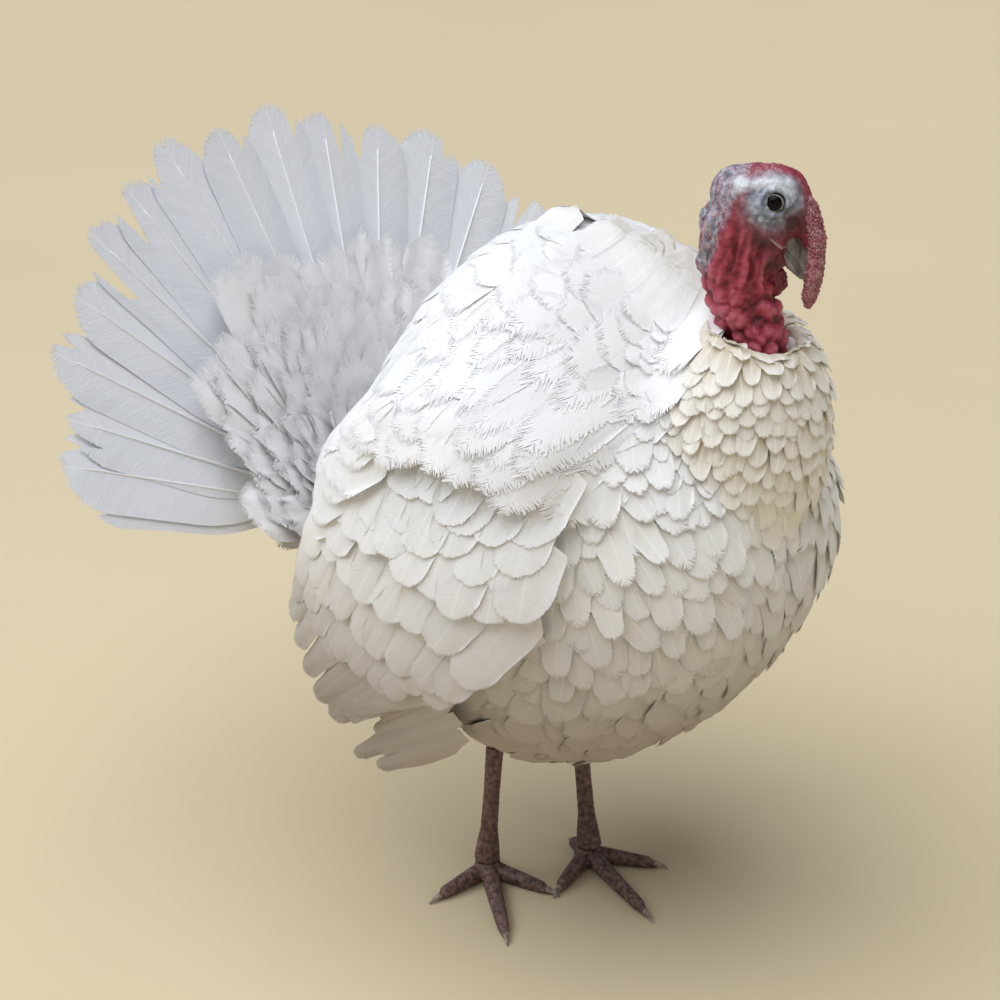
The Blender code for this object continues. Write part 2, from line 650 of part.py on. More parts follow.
def build_fan():
    depth = FEATHERS * BLADE_PITCH
    back = STACK_FRONT - depth
    # Base plate with its lug round the tail pin.
    local = TILT_PIVOT - HUB
    drop = -local.dot(U_AXIS)
    behind = local.dot(W_AXIS)
    turn = Matrix((U_AXIS, V_AXIS, W_AXIS)).transposed().to_4x4()
    turn = Matrix.Translation(Vector((0, 0, 0))) @ turn
    plate = turned(
        "fan_base",
        [(0, BASE_PLATE / 2), (0.017, BASE_PLATE / 2), (0.017, -BASE_PLATE / 2), (0, -BASE_PLATE / 2)],
        HUB,
        W_AXIS,
        ALLOY,
        20,
    )
    web = block("base_web", fan_point(-drop / 2 - 0.004, 0, 0), (0.012, 0.024, BASE_PLATE), None, cutter=True)
    web.data.transform(Matrix.Diagonal((drop / 0.012, 1, 1, 1)))
    web.matrix_local = Matrix.Translation(fan_point(-drop / 2 - 0.006, 0, 0)) @ turn
    arm = block("base_arm", (0, 0, 0), (0.008, 0.024, abs(behind) + 0.006), None, cutter=True)
    arm.matrix_local = Matrix.Translation(fan_point(-drop, 0, behind / 2)) @ turn
    lug = cylinder(
        "base_lug", TILT_PIVOT - V_AXIS * 0.012, TILT_PIVOT + V_AXIS * 0.012, 0.0085, None, 16, True
    )
    for piece in (web, arm, lug):
        boolean(plate, piece, "UNION")
    pin_bore = cylinder("fan_pin_bore", fan_point(0, 0, -0.02), fan_point(0, 0, 0.02), FAN_PIN_R + RUN, None, 12, True)
    lug_bore = cylinder(
        "lug_bore", TILT_PIVOT - V_AXIS * 0.03, TILT_PIVOT + V_AXIS * 0.03, TAIL_PIN_R + RUN, None, 12, True
    )
    cut(plate, pin_bore, lug_bore)
    for k in range(1, FEATHERS + 1):
        build_feather(k)
    front = BASE_PLATE / 2 + 0.0004
    fan_dish("tail_covert_pad", front + 0.0032, 0.225, 0.006, 84.0)
    fan_dish("undertail_pad", back - 0.0050, 0.165, 0.008, 84.0)
    head_w = front + 0.0064
    nut_w = back - 0.0098
    turned(
        "fan_pin",
        [
            (0, head_w + 0.004),
            (0.007, head_w + 0.004),
            (0.007, head_w),
            (FAN_PIN_R, head_w),
            (FAN_PIN_R, nut_w - 0.014),
            (0, nut_w - 0.014),
        ],
        HUB,
        W_AXIS,
        STEEL,
        14,
    )
    turned(
        "fan_wing_nut",
        [
            (0.009, nut_w),
            (0.011, nut_w - 0.003),
            (0.011, nut_w - 0.009),
            (0.009, nut_w - 0.011),
            (FAN_PIN_R + RUN, nut_w - 0.011),
            (FAN_PIN_R + RUN, nut_w),
        ],
        HUB,
        W_AXIS,
        STEEL,
        14,
    )


def build_tail_bracket(tube_cut):
    """A clamp on the spine's rear end with two ears for the tail pin."""
    seat = spine_at(-0.078)
    clamp = block("tail_bracket", seat, (0.030, 0.034, 0.034), ALLOY)
    for side in (-1, 1):
        mid = Vector(((TILT_PIVOT.x + seat.x) / 2, side * 0.0145, (TILT_PIVOT.z + seat.z) / 2))
        run = TILT_PIVOT - Vector((seat.x, 0, seat.z))
        ear = block(f"ear_{side}", mid, (0.014, 0.0045, run.length + 0.004), None, axes(run, V_AXIS), True)
        boolean(clamp, ear, "UNION")
        boss = cylinder(
            f"ear_boss_{side}",
            TILT_PIVOT + V_AXIS * side * 0.01225,
            TILT_PIVOT + V_AXIS * side * 0.01675,
            0.0085,
            None,
            16,
            True,
        )
        boolean(clamp, boss, "UNION")
    pin_cut = cylinder(
        "tail_pin_cut", TILT_PIVOT - V_AXIS * 0.03, TILT_PIVOT + V_AXIS * 0.03, TAIL_PIN_R + RUN, None, 12, True
    )
    cut(clamp, tube_cut, pin_cut)
    half = 0.0168
    turned(
        "tail_pin",
        [
            (0, half + 0.0035),
            (0.0065, half + 0.0035),
            (0.0065, half + 0.0004),
            (TAIL_PIN_R, half + 0.0004),
            (TAIL_PIN_R, -half - 0.004),
            (0, -half - 0.004),
        ],
        TILT_PIVOT,
        V_AXIS,
        STEEL,
        12,
    )


# ---------------------------------------------------------------- wings
WING_CENTRE = Vector((0.085, 0.0, 0.430))
WING_OUT = 0.232
WING_GAP = 0.022
STATION_XS = [station[0] for station in STATIONS]


def body_half_width(x, z):
    """How wide the body form is at this height, or 0 outside it."""
    s = float(np.interp(x, STATION_XS, range(len(STATIONS))))
    _, top, bottom, wide = spline(STATIONS, s)
    rise = abs(z - (top + bottom) / 2) / max((top - bottom) / 2, 0.001)
    return wide * (1 - rise**SECTION_POWER) ** (1 / SECTION_POWER) if rise < 1 else 0.0


def wing_skin(x, z, out=0.0):
    """How far the wing stands from the bird's middle at (x, z): it hugs the body and carries on behind it."""
    free = WING_OUT - 1.25 * (x - WING_CENTRE.x) ** 2 - 1.00 * (z - WING_CENTRE.z) ** 2
    free -= 8.0 * max(x - 0.14, 0.0) ** 2
    near = body_half_width(x, z) + WING_GAP
    blend = 0.012
    return blend * math.log(math.exp(free / blend) + math.exp(near / blend)) + out


def wing_panel(name, side, corners, level, thickness, finish, rows=6, columns=5):
    """A curved panel between four corners given as (x, z): top front, top rear, low rear, low front."""
    a, b, c, d = (Vector((x, z)) for x, z in corners)
    sign = -1 if side == "right" else 1
    points, faces = [], []
    for i in range(rows + 1):
        for k in range(columns + 1):
            s, t = i / rows, k / columns
            p = a.lerp(b, t).lerp(d.lerp(c, t), s)
            points.append(Vector((p.x, sign * wing_skin(p.x, p.y, level), p.y)))
    for i in range(rows):
        for k in range(columns):
            q = i * (columns + 1) + k
            faces.append((q, q + 1, q + columns + 2, q + columns + 1))
    panel = mesh_object(name, points, faces, finish)
    if panel.data.polygons[0].normal.y * sign < 0:
        panel.data.flip_normals()
    solidify(panel, thickness)
    return panel


def build_wing(side):
    """Wing plate on the body, with the covert, secondary and primary banks over it."""
    sign = -1 if side == "right" else 1
    plate = wing_panel(
        f"wing_plate_{side}", side, [(0.220, 0.562), (0.075, 0.604), (-0.015, 0.424), (0.146, 0.382)], 0.0, 0.003,
        PLASTIC, 10, 8,
    )
    wing_panel(
        f"wing_coverts_{side}", side, [(0.232, 0.572), (0.065, 0.622), (-0.045, 0.428), (0.160, 0.365)], 0.0150,
        0.007, WHITE, 10, 8,
    )
    wing_panel(
        f"wing_secondaries_{side}", side, [(0.136, 0.373), (-0.045, 0.420), (-0.108, 0.272), (0.050, 0.262)], 0.0060,
        0.007, WHITE,
    )
    wing_panel(
        f"wing_primaries_{side}", side, [(0.130, 0.366), (0.035, 0.370), (-0.078, 0.196), (-0.040, 0.184)], -0.0050,
        0.004, WHITE,
    )
    x, z = 0.130, 0.480
    y_out = wing_skin(x, z, 0.0)
    bolt = turned(
        f"wing_bolt_{side}",
        [(0, 0.0), (0.0030, 0.0), (0.0030, -0.052), (0, -0.052)],
        (x, sign * (y_out - 0.0002), z),
        (0, sign, 0),
        STEEL,
        12,
    )
    bore = cylinder(
        f"bolt_bore_{side}", (x, sign * 0.16, z), (x, sign * 0.30, z), 0.0030 + RUN, None, 12, True
    )
    cut(plate, bore)
    for node in (f"body_shell_{side}", f"flank_plumage_{side}"):
        cut(bpy.data.objects[node], bore)
    return bolt


# ---------------------------------------------------------------- assembly
def main():
    floor = block("floor_cut", (0.05, 0, -0.05), (0.6, 0.6, 0.1), None, cutter=True)
    build_shells()
    build_plumage()
    build_ruff()
    tube_cut = build_frame()
    build_neck_post()
    build_tail_bracket(tube_cut)
    for side in ("right", "left"):
        build_leg(side, floor)
        build_wing(side)
    build_head()
    build_fan()


main()
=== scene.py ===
"""A life-size strutting turkey decoy: feathers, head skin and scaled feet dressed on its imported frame.

Metres, +Z up, +X the way the bird faces, +Y its left. Every vane, covert and scale is a mesh made here,
laid on surfaces that are read from the frame, so each one sits where the frame's own pads, blades and
mouldings are.
"""

import json
import math

import bmesh
import bpy
import numpy as np
from mathutils import Matrix, Vector, noise
from mathutils.bvhtree import BVHTree


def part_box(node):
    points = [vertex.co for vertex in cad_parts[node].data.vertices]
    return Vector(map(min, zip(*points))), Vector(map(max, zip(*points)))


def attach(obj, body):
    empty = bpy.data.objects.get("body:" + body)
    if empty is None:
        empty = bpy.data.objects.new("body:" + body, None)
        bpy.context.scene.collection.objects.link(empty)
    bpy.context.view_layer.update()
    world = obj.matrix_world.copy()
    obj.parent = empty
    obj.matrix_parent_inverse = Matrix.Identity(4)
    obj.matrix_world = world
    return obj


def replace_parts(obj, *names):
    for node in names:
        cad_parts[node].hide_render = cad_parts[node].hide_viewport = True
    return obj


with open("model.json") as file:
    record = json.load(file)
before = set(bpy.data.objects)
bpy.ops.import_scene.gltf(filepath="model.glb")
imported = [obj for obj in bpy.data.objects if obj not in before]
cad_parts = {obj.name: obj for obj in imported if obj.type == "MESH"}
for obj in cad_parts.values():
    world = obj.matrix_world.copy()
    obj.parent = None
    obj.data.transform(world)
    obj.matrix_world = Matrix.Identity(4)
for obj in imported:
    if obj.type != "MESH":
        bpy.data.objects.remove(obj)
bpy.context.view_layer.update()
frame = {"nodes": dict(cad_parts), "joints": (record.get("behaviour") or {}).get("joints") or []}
RANDOM = np.random.default_rng(18)
NODES = frame["nodes"]
JOINTS = {joint["name"]: joint for joint in frame["joints"]}
SIDES = {"right": -1.0, "left": 1.0}  # the sign of Y on each side


# ---------------------------------------------------------------- small helpers
def unit(vectors):
    vectors = np.asarray(vectors, float)
    return vectors / np.maximum(np.linalg.norm(vectors, axis=-1, keepdims=True), 1e-12)


def smooth_step(low, high, value):
    share = np.clip((np.asarray(value, float) - low) / (high - low), 0, 1)
    return share * share * (3 - 2 * share)


def bump(value, centre, reach):
    """1 at the centre, falling to 0 about two reaches away."""
    return np.exp(-(((np.asarray(value, float) - centre) / reach) ** 2))


def mix(a, b, share):
    return a + (b - a) * share


def polyline(points, shares):
    """Points at even shares of a polyline's length."""
    points = np.asarray(points, float)
    steps = np.linalg.norm(np.diff(points, axis=0), axis=1)
    run = np.concatenate([[0], np.cumsum(steps)]) / steps.sum()
    return np.stack([np.interp(shares, run, points[:, c]) for c in range(points.shape[1])], -1)


def place_in_scene(obj):
    bpy.context.scene.collection.objects.link(obj)


def node_points(name):
    return np.array([v.co for v in NODES[name].data.vertices], float)


def centre_of(name):
    low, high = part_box(name)
    return np.array((low + high) / 2)


# ---------------------------------------------------------------- materials
def linear(hex_colour):
    """An sRGB hex colour as a linear RGBA."""
    parts = [int(hex_colour[i : i + 2], 16) / 255 for i in (1, 3, 5)]
    return (*[c / 12.92 if c <= 0.04045 else ((c + 0.055) / 1.055) ** 2.4 for c in parts], 1.0)


def add(tree, kind, settings=(), inputs=(), stops=()):
    """Adds a node. Inputs are values, hex colours, or another node's output, given as (node, output name)."""
    made = tree.nodes.new(kind)
    for name, value in dict(settings).items():
        setattr(made, name, value)
    for name, value in dict(inputs).items():
        socket = made.inputs[name]
        if isinstance(value, tuple) and isinstance(value[0], bpy.types.Node):
            tree.links.new(value[0].outputs[value[1]], socket)
        else:
            socket.default_value = linear(value) if isinstance(value, str) else value
    for _ in range(len(stops) - 2):
        made.color_ramp.elements.new(0.5)
    for n, (place, colour) in enumerate(stops):
        made.color_ramp.elements[n].position = place
        made.color_ramp.elements[n].color = linear(colour)
    return made


def surface_material(name, constants):
    """A new material whose shader holds the values that are the same all over the surface."""
    made = bpy.data.materials.new(name)
    made.use_nodes = True
    shader = made.node_tree.nodes["Principled BSDF"]
    for socket, value in constants.items():
        shader.inputs[socket].default_value = value
    return made, made.node_tree, shader


def mixed(tree, share, a, b, blend="MIX"):
    """A colour mix, as (node, output)."""
    inputs = {0: share, 6: a, 7: b}
    return (add(tree, "ShaderNodeMix", {"data_type": "RGBA", "blend_type": blend}, inputs), 2)


def calc(tree, operation, a, b=0.0, c=0.0, clamp=False):
    """One sum on numbers, as (node, output)."""
    inputs = {0: a, 1: b, 2: c}
    return (add(tree, "ShaderNodeMath", {"operation": operation, "use_clamp": clamp}, inputs), 0)


def attribute(tree, name, output=2):
    """A mesh attribute, as (node, output): 2 is its number and 0 its colour."""
    return (add(tree, "ShaderNodeAttribute", {"attribute_name": name}), output)


def noise_field(tree, place, scale, detail, settings=()):
    inputs = {"Vector": place, "Scale": scale, "Detail": detail}
    return (add(tree, "ShaderNodeTexNoise", settings, inputs), 0)


def ramp(tree, share, stops):
    return (add(tree, "ShaderNodeValToRGB", (), {0: share}, stops), 0)


def wire(tree, value, shader, socket):
    tree.links.new(value[0].outputs[value[1]], shader.inputs[socket])


def emboss(tree, shader, height, strength, distance):
    """Raises a shader's normals by a height."""
    inputs = {"Strength": strength, "Distance": distance, "Height": height}
    wire(tree, (add(tree, "ShaderNodeBump", (), inputs), 0), shader, "Normal")


# Painted shade: a brown-grey that darkens the white vanes lower on the body, where the underside lies in
# shade.
LOW_SHADE_TINT = "#a2948a"  # tints the white vanes near the ground a brown-grey


def feather_vane(name, tip, root, shaft, barb_mm=1.1, barb_depth=0.35, shaft_mm=0.9, tone=0.06, fringe=0.12):
    """Feather keratin: a matt white vane of fine barbs that slant off a smoother, paler shaft. Light
    goes a little way into it, which keeps the shadows between feathers soft. Over the fringe, a share
    of the vane's length, the barbs end one after another, so the tip is frayed. Barbs are drawn about
    twice as coarse as real ones, so that they show."""
    made, tree, shader = surface_material(
        name, {"IOR": 1.54, "Sheen Weight": 0.25, "Sheen Roughness": 0.6, "Specular IOR Level": 0.25}
    )
    grid = (add(tree, "ShaderNodeUVMap", {"uv_map": "vane_mm"}), 0)
    split = add(tree, "ShaderNodeSeparateXYZ", (), {0: grid})
    across = calc(tree, "ABSOLUTE", (split, 0))
    slant = calc(tree, "MULTIPLY_ADD", across, -0.9, (split, 1))
    barbs = add(tree, "ShaderNodeCombineXYZ", (), {0: calc(tree, "MULTIPLY", across, 0.12), 1: slant})
    flat = {"noise_dimensions": "2D"}
    streak = noise_field(tree, (barbs, 0), 1 / barb_mm, 2.0, flat)
    broad = noise_field(tree, (barbs, 0), 0.12, 1.0, flat)
    reach = attribute(tree, "reach")
    own = attribute(tree, "tone")
    # Painted shade: the colour runs from the root colour to the tip colour along the vane, and the darker,
    # warmer roots stand for shade in the gaps between overlapping feathers.
    vane = mixed(tree, calc(tree, "POWER", reach, 0.8, clamp=True), root, tip)
    shade = calc(tree, "MULTIPLY_ADD", own, tone, 1 - tone)
    for field, amount in ((streak, 0.10), (broad, 0.08)):
        shade = calc(tree, "MULTIPLY_ADD", field, amount, calc(tree, "ADD", shade, -amount / 2))
    grey = add(tree, "ShaderNodeCombineColor", (), {0: shade, 1: shade, 2: shade})
    vane = mixed(tree, 1.0, vane, (grey, 0), "MULTIPLY")
    quill = calc(tree, "LESS_THAN", across, shaft_mm)
    vane = mixed(tree, calc(tree, "MULTIPLY", quill, 0.6), vane, shaft)
    # Painted shade: the vanes turn brown-grey the lower they lie, as read from the mesh attribute that
    # feather_mesh sets.
    vane = mixed(tree, attribute(tree, "stain"), vane, LOW_SHADE_TINT, "MULTIPLY")
    wire(tree, vane, shader, "Base Color")
    wire(tree, calc(tree, "MULTIPLY_ADD", streak, 0.25, 0.55), shader, "Roughness")
    emboss(tree, shader, streak, barb_depth, 0.0006)
    worn = calc(tree, "MULTIPLY_ADD", reach, 1 / fringe, 1 - 1 / fringe)
    left = calc(tree, "GREATER_THAN", calc(tree, "MULTIPLY_ADD", streak, 2.4, -0.42), worn)
    wire(tree, left, shader, "Alpha")
    shader.inputs["Subsurface Weight"].default_value = 0.12
    shader.inputs["Subsurface Radius"].default_value = (1.0, 0.9, 0.8)
    shader.inputs["Subsurface Scale"].default_value = 0.004
    return made


def object_position(tree, scale_mm, stretch=(1, 1, 1)):
    """Object coordinates where one unit is this many millimetres."""
    place = add(tree, "ShaderNodeTexCoord")
    scale = tuple(1000 / scale_mm * s for s in stretch)
    return (add(tree, "ShaderNodeMapping", (), {"Vector": (place, 3), "Scale": scale}), 0)


def down_felt():
    """Down under the vanes: warm white fluff with no gloss, which is what shows in the gaps between
    feathers."""
    made, tree, shader = surface_material("turkey_down", {"Roughness": 0.95, "Sheen Weight": 0.4})
    tufts = noise_field(tree, object_position(tree, 4.0), 1.0, 4.0)
    wire(tree, ramp(tree, tufts, [(0.3, "#cfc4b2"), (0.75, "#efeae0")]), shader, "Base Color")
    emboss(tree, shader, tufts, 0.8, 0.002)
    return made


def head_skin_rubber():
    """Painted soft rubber skin. Crimson, darker in the low folds and lighter on the raised lumps, which is
    painted shade that follows the skin's relief, and chalky on the grains, turning blue-grey round the eye
    and nearly white over the brow. The three painted zones come from the mesh's own zones attribute."""
    made, tree, shader = surface_material(
        "painted_head_rubber", {"IOR": 1.45, "Subsurface Weight": 0.08, "Subsurface Scale": 0.003}
    )
    shader.inputs["Subsurface Radius"].default_value = (1.0, 0.35, 0.25)
    split = add(tree, "ShaderNodeSeparateColor", (), {0: attribute(tree, "zones", 0)})
    relief = attribute(tree, "relief")
    spots = {"Vector": object_position(tree, 1.7), "Scale": 1.0}
    grain = (add(tree, "ShaderNodeTexVoronoi", {"feature": "F1"}, spots), 0)
    mottle = noise_field(tree, object_position(tree, 6.0), 1.0, 5.0)
    # Painted shade: the crimson darkens where the relief is low, in folds and creases, and lightens on the
    # lumps.
    height = calc(tree, "MULTIPLY_ADD", mottle, 0.5, calc(tree, "MULTIPLY", relief, 0.6))
    red = ramp(tree, height, [(0.18, "#3a0f19"), (0.42, "#7d2433"), (0.62, "#a23a4b"), (0.95, "#c46a78")])
    blue = ramp(tree, mottle, [(0.32, "#5b5f68"), (0.5, "#8b94a6"), (0.68, "#c3cad6")])
    white = ramp(tree, mottle, [(0.3, "#b7bcc6"), (0.7, "#eceff2")])
    dark = mixed(tree, mottle, "#2c161b", "#5e2a35")
    speck = calc(tree, "LESS_THAN", grain, calc(tree, "MULTIPLY", mottle, 0.75))
    colour = mixed(tree, (split, 0), red, blue)
    colour = mixed(tree, (split, 1), colour, dark)
    colour = mixed(tree, (split, 2), colour, white)
    chalky = calc(tree, "MULTIPLY", calc(tree, "MULTIPLY", speck, attribute(tree, "granular")), 0.55)
    wire(tree, mixed(tree, chalky, colour, "#c9b4b4"), shader, "Base Color")
    wire(tree, calc(tree, "MULTIPLY_ADD", mottle, 0.3, 0.32), shader, "Roughness")
    emboss(tree, shader, calc(tree, "MULTIPLY_ADD", grain, -0.6, mottle), 0.55, 0.0008)
    return made


def mottled(name, low, high, scale_mm, rough=(0.4, 0.6), depth_mm=0.3, constants=(), stretch=(1, 1, 1)):
    """A finish of two colours that drift into each other over a real distance, with matching roughness
    and relief."""
    made, tree, shader = surface_material(name, dict(constants))
    drift = noise_field(tree, object_position(tree, scale_mm, stretch), 1.0, 4.0)
    wire(tree, ramp(tree, drift, [(0.32, low), (0.68, high)]), shader, "Base Color")
    wire(tree, calc(tree, "MULTIPLY_ADD", drift, rough[1] - rough[0], rough[0]), shader, "Roughness")
    emboss(tree, shader, drift, 0.6, depth_mm / 1000)
    return made


# The root colours here are darker and warmer than the tips on the body, back, ruff and wing vanes, and that
# difference is painted shade between overlapping feathers.
BODY_VANE = feather_vane("white_body_vane", "#f8f8f6", "#e6dfd3", "#fbfaf7")
BACK_VANE = feather_vane(
    "soft_back_vane", "#fcfcfd", "#f1eee8", "#ffffff", barb_depth=0.25, shaft_mm=0.5, fringe=0.20
)
RUFF_VANE = feather_vane("cream_ruff_vane", "#f6f3ea", "#d3c19f", "#f8f3e6", barb_mm=0.9)
# Painted shade: the tail vanes carry a faint blue-grey, a little deeper towards their tips.
TAIL_VANE = feather_vane(
    "white_tail_vane_blue_shade", "#edf0f6", "#f5f6f9", "#ffffff", barb_mm=1.4, barb_depth=0.9, fringe=0.035
)
WING_VANE = feather_vane(
    "white_wing_vane", "#f7f7f7", "#f2efea", "#fafaf9", barb_mm=1.3, barb_depth=0.6, tone=0.09, fringe=0.05
)
DOWN = down_felt()
SKIN = head_skin_rubber()
BEAK_HORN = mottled(
    "horn_lacquer_beak", "#443b40", "#94908f", 6.0, (0.22, 0.4), 0.12, {"IOR": 1.54, "Coat Weight": 0.4},
    (1, 1, 0.35),
)
SHANK_RUBBER = mottled("brown_mauve_leg_rubber", "#3f2a28", "#83665f", 5.0, (0.45, 0.7), 0.3, {"IOR": 1.5})
CLAW_HORN = mottled("pale_claw_horn", "#5d4c45", "#b3a294", 4.0, (0.3, 0.45), 0.1, {"IOR": 1.54})
EYE_GLASS = mottled(
    "brown_glass_eye", "#020101", "#0d0605", 3.0, (0.05, 0.08), 0.005, {"IOR": 1.4, "Specular IOR Level": 0.2}
)
LID_SKIN = mottled("grey_eyelid_rubber", "#544c50", "#9a9296", 1.5, (0.4, 0.6), 0.2, {"IOR": 1.45})
MOULDED_SHELL = mottled("moulded_hdpe_shell", "#cfcbc0", "#dedad1", 12.0, (0.45, 0.6), 0.1, {"IOR": 1.54})
ZINC_STEEL = mottled(
    "zinc_plated_steel", "#8f9296", "#c2c5c9", 8.0, (0.25, 0.45), 0.02, {"Metallic": 1.0}, (1, 1, 0.1)
)
BRUSHED_ALLOY = mottled(
    "brushed_aluminium", "#b4b7bb", "#d4d6d9", 6.0, (0.3, 0.5), 0.02, {"Metallic": 1.0}, (0.15, 1, 1)
)


# ---------------------------------------------------------------- meshes
def show(name, mesh, body, finish=None):
    """Puts a mesh in the scene as a piece that moves with a body."""
    obj = bpy.data.objects.new(name, mesh)
    place_in_scene(obj)
    if finish is not None:
        mesh.materials.append(finish)
    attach(obj, body)
    return obj


def float_attribute(mesh, name, values):
    made = mesh.attributes.new(name, "FLOAT", "POINT")
    made.data.foreach_set("value", np.ascontiguousarray(values, np.float32).ravel())


def smoothed(mesh):
    mesh.polygons.foreach_set("use_smooth", np.ones(len(mesh.polygons), bool))
    mesh.update()
    return mesh


def move_points(mesh, points):
    mesh.vertices.foreach_set("co", points.astype(np.float32).ravel())
    mesh.update()


def array_mesh(name, points, quads):
    mesh = bpy.data.meshes.new(name)
    points = np.asarray(points, np.float32).reshape(-1, 3)
    quads = np.asarray(quads, np.int32)
    mesh.vertices.add(len(points))
    mesh.vertices.foreach_set("co", points.ravel())
    mesh.loops.add(quads.size)
    mesh.loops.foreach_set("vertex_index", quads.ravel())
    mesh.polygons.add(len(quads))
    mesh.polygons.foreach_set("loop_start", np.arange(0, quads.size, quads.shape[1]))
    mesh.update(calc_edges=True)
    return smoothed(mesh)


def remeshed(name, nodes, voxel, rounds, hulls=(), blobs=()):
    """One even skin over copies of frame nodes and round blobs, with the space inside some nodes filled
    by a hull."""
    work = bmesh.new()
    for node in nodes:
        work.from_mesh(NODES[node].data)
    bmesh.ops.remove_doubles(work, verts=work.verts, dist=1e-6)
    for members in hulls:
        filler = bmesh.new()
        for node in members:
            filler.from_mesh(NODES[node].data)
        hull = bmesh.ops.convex_hull(filler, input=filler.verts)
        keep = bpy.data.meshes.new("filler")
        outer = {part for part in hull["geom"] if isinstance(part, bmesh.types.BMFace)}
        bmesh.ops.delete(filler, geom=[face for face in filler.faces if face not in outer], context="FACES")
        filler.to_mesh(keep)
        work.from_mesh(keep)
        filler.free()
        bpy.data.meshes.remove(keep)
    for centre, radius in blobs:
        ball = bmesh.ops.create_icosphere(work, subdivisions=3, radius=radius)
        bmesh.ops.translate(work, verts=ball["verts"], vec=centre)
    rough = bpy.data.meshes.new(name)
    work.to_mesh(rough)
    work.free()
    obj = bpy.data.objects.new(name, rough)
    place_in_scene(obj)
    grid = obj.modifiers.new("grid", "REMESH")
    grid.mode = "VOXEL"
    grid.voxel_size = voxel
    if rounds:
        even = obj.modifiers.new("even", "SMOOTH")
        even.factor, even.iterations = 0.5, rounds
    graph = bpy.context.evaluated_depsgraph_get()
    mesh = bpy.data.meshes.new_from_object(obj.evaluated_get(graph))
    bpy.data.objects.remove(obj)
    return smoothed(mesh)


def tube(name, centres, radii, up, sides=8):
    """A closed, tapered tube along a run of centres."""
    centres = np.asarray(centres, float)
    way = unit(np.gradient(centres, axis=0))
    side = unit(np.cross(up, way))
    top = np.cross(way, side)
    around = np.linspace(0, 2 * math.pi, sides, endpoint=False)[None, :, None]
    rings = centres[:, None] + np.reshape(radii, (-1, 1, 1)) * (
        np.cos(around) * side[:, None] + np.sin(around) * top[:, None]
    )
    points = np.concatenate([rings.reshape(-1, 3), centres[:1], centres[-1:]])
    last = (len(centres) - 1) * sides
    first_end, last_end = len(points) - 2, len(points) - 1
    faces = []
    for k in range(sides):
        n = (k + 1) % sides
        faces += [(i + k, i + n, i + sides + n, i + sides + k) for i in range(0, last, sides)]
        faces += [(first_end, n, k), (last_end, last + k, last + n)]
    mesh = bpy.data.meshes.new(name)
    mesh.from_pydata(points.tolist(), [], faces)
    return smoothed(mesh)


def joined(parts):
    """Joins the arrays of several parts, place by place."""
    return (np.concatenate(arrays) for arrays in zip(*parts))


def mesh_arrays(mesh):
    both = np.zeros((2, len(mesh.vertices) * 3), np.float32)
    mesh.vertices.foreach_get("co", both[0])
    mesh.vertices.foreach_get("normal", both[1])
    return both.reshape(2, -1, 3).astype(float)


class Surface:
    """A smooth skin that feathers are laid on."""

    def __init__(self, mesh):
        self.mesh = mesh
        self.points, self.normals = mesh_arrays(mesh)
        mesh.calc_loop_triangles()
        self.triangles = np.array([t.vertices for t in mesh.loop_triangles], int)
        self.tree = BVHTree.FromPolygons(self.points.tolist(), self.triangles.tolist())

    def nearest(self, places):
        """The nearest points of the skin, and its smooth normals there."""
        flat = np.asarray(places, float).reshape(-1, 3)
        found = [self.tree.find_nearest(p) for p in flat.tolist()]
        spots = np.array([f[0] for f in found], float)
        corners = self.triangles[[f[2] for f in found]]
        gaps = np.linalg.norm(self.points[corners] - spots[:, None], axis=2)
        weights = 1 / np.maximum(gaps, 1e-5)
        normals = unit((self.normals[corners] * weights[..., None]).sum(1))
        shape = np.asarray(places).shape
        return spots.reshape(shape), normals.reshape(shape)

    def scattered(self, count):
        """Random places spread evenly by area, and their normals."""
        corners = self.points[self.triangles]
        areas = np.linalg.norm(np.cross(corners[:, 1] - corners[:, 0], corners[:, 2] - corners[:, 0]), axis=1)
        chosen = RANDOM.choice(len(areas), count, p=areas / areas.sum())
        a, b = RANDOM.random(count), RANDOM.random(count)
        over = a + b > 1
        a[over], b[over] = 1 - a[over], 1 - b[over]
        weights = np.stack([1 - a - b, a, b], 1)[..., None]
        places = (corners[chosen] * weights).sum(1)
        normals = unit((self.normals[self.triangles[chosen]] * weights).sum(1))
        return places, normals


def spaced(places, spacing):
    """Picks places in order so that each keeps its own spacing from those picked before it."""
    picked = np.zeros((len(places), 3))
    gaps = np.zeros(len(places))
    kept = []
    for share in (1.0, 0.82):
        for n in range(len(places)):
            count = len(kept)
            room = spacing[n] * share
            if count:
                near = np.linalg.norm(picked[:count] - places[n], axis=1)
                if (near < np.minimum(room, gaps[:count] * share)).any():
                    continue
            picked[count], gaps[count] = places[n], spacing[n]
            kept.append(n)
    return np.array(kept)


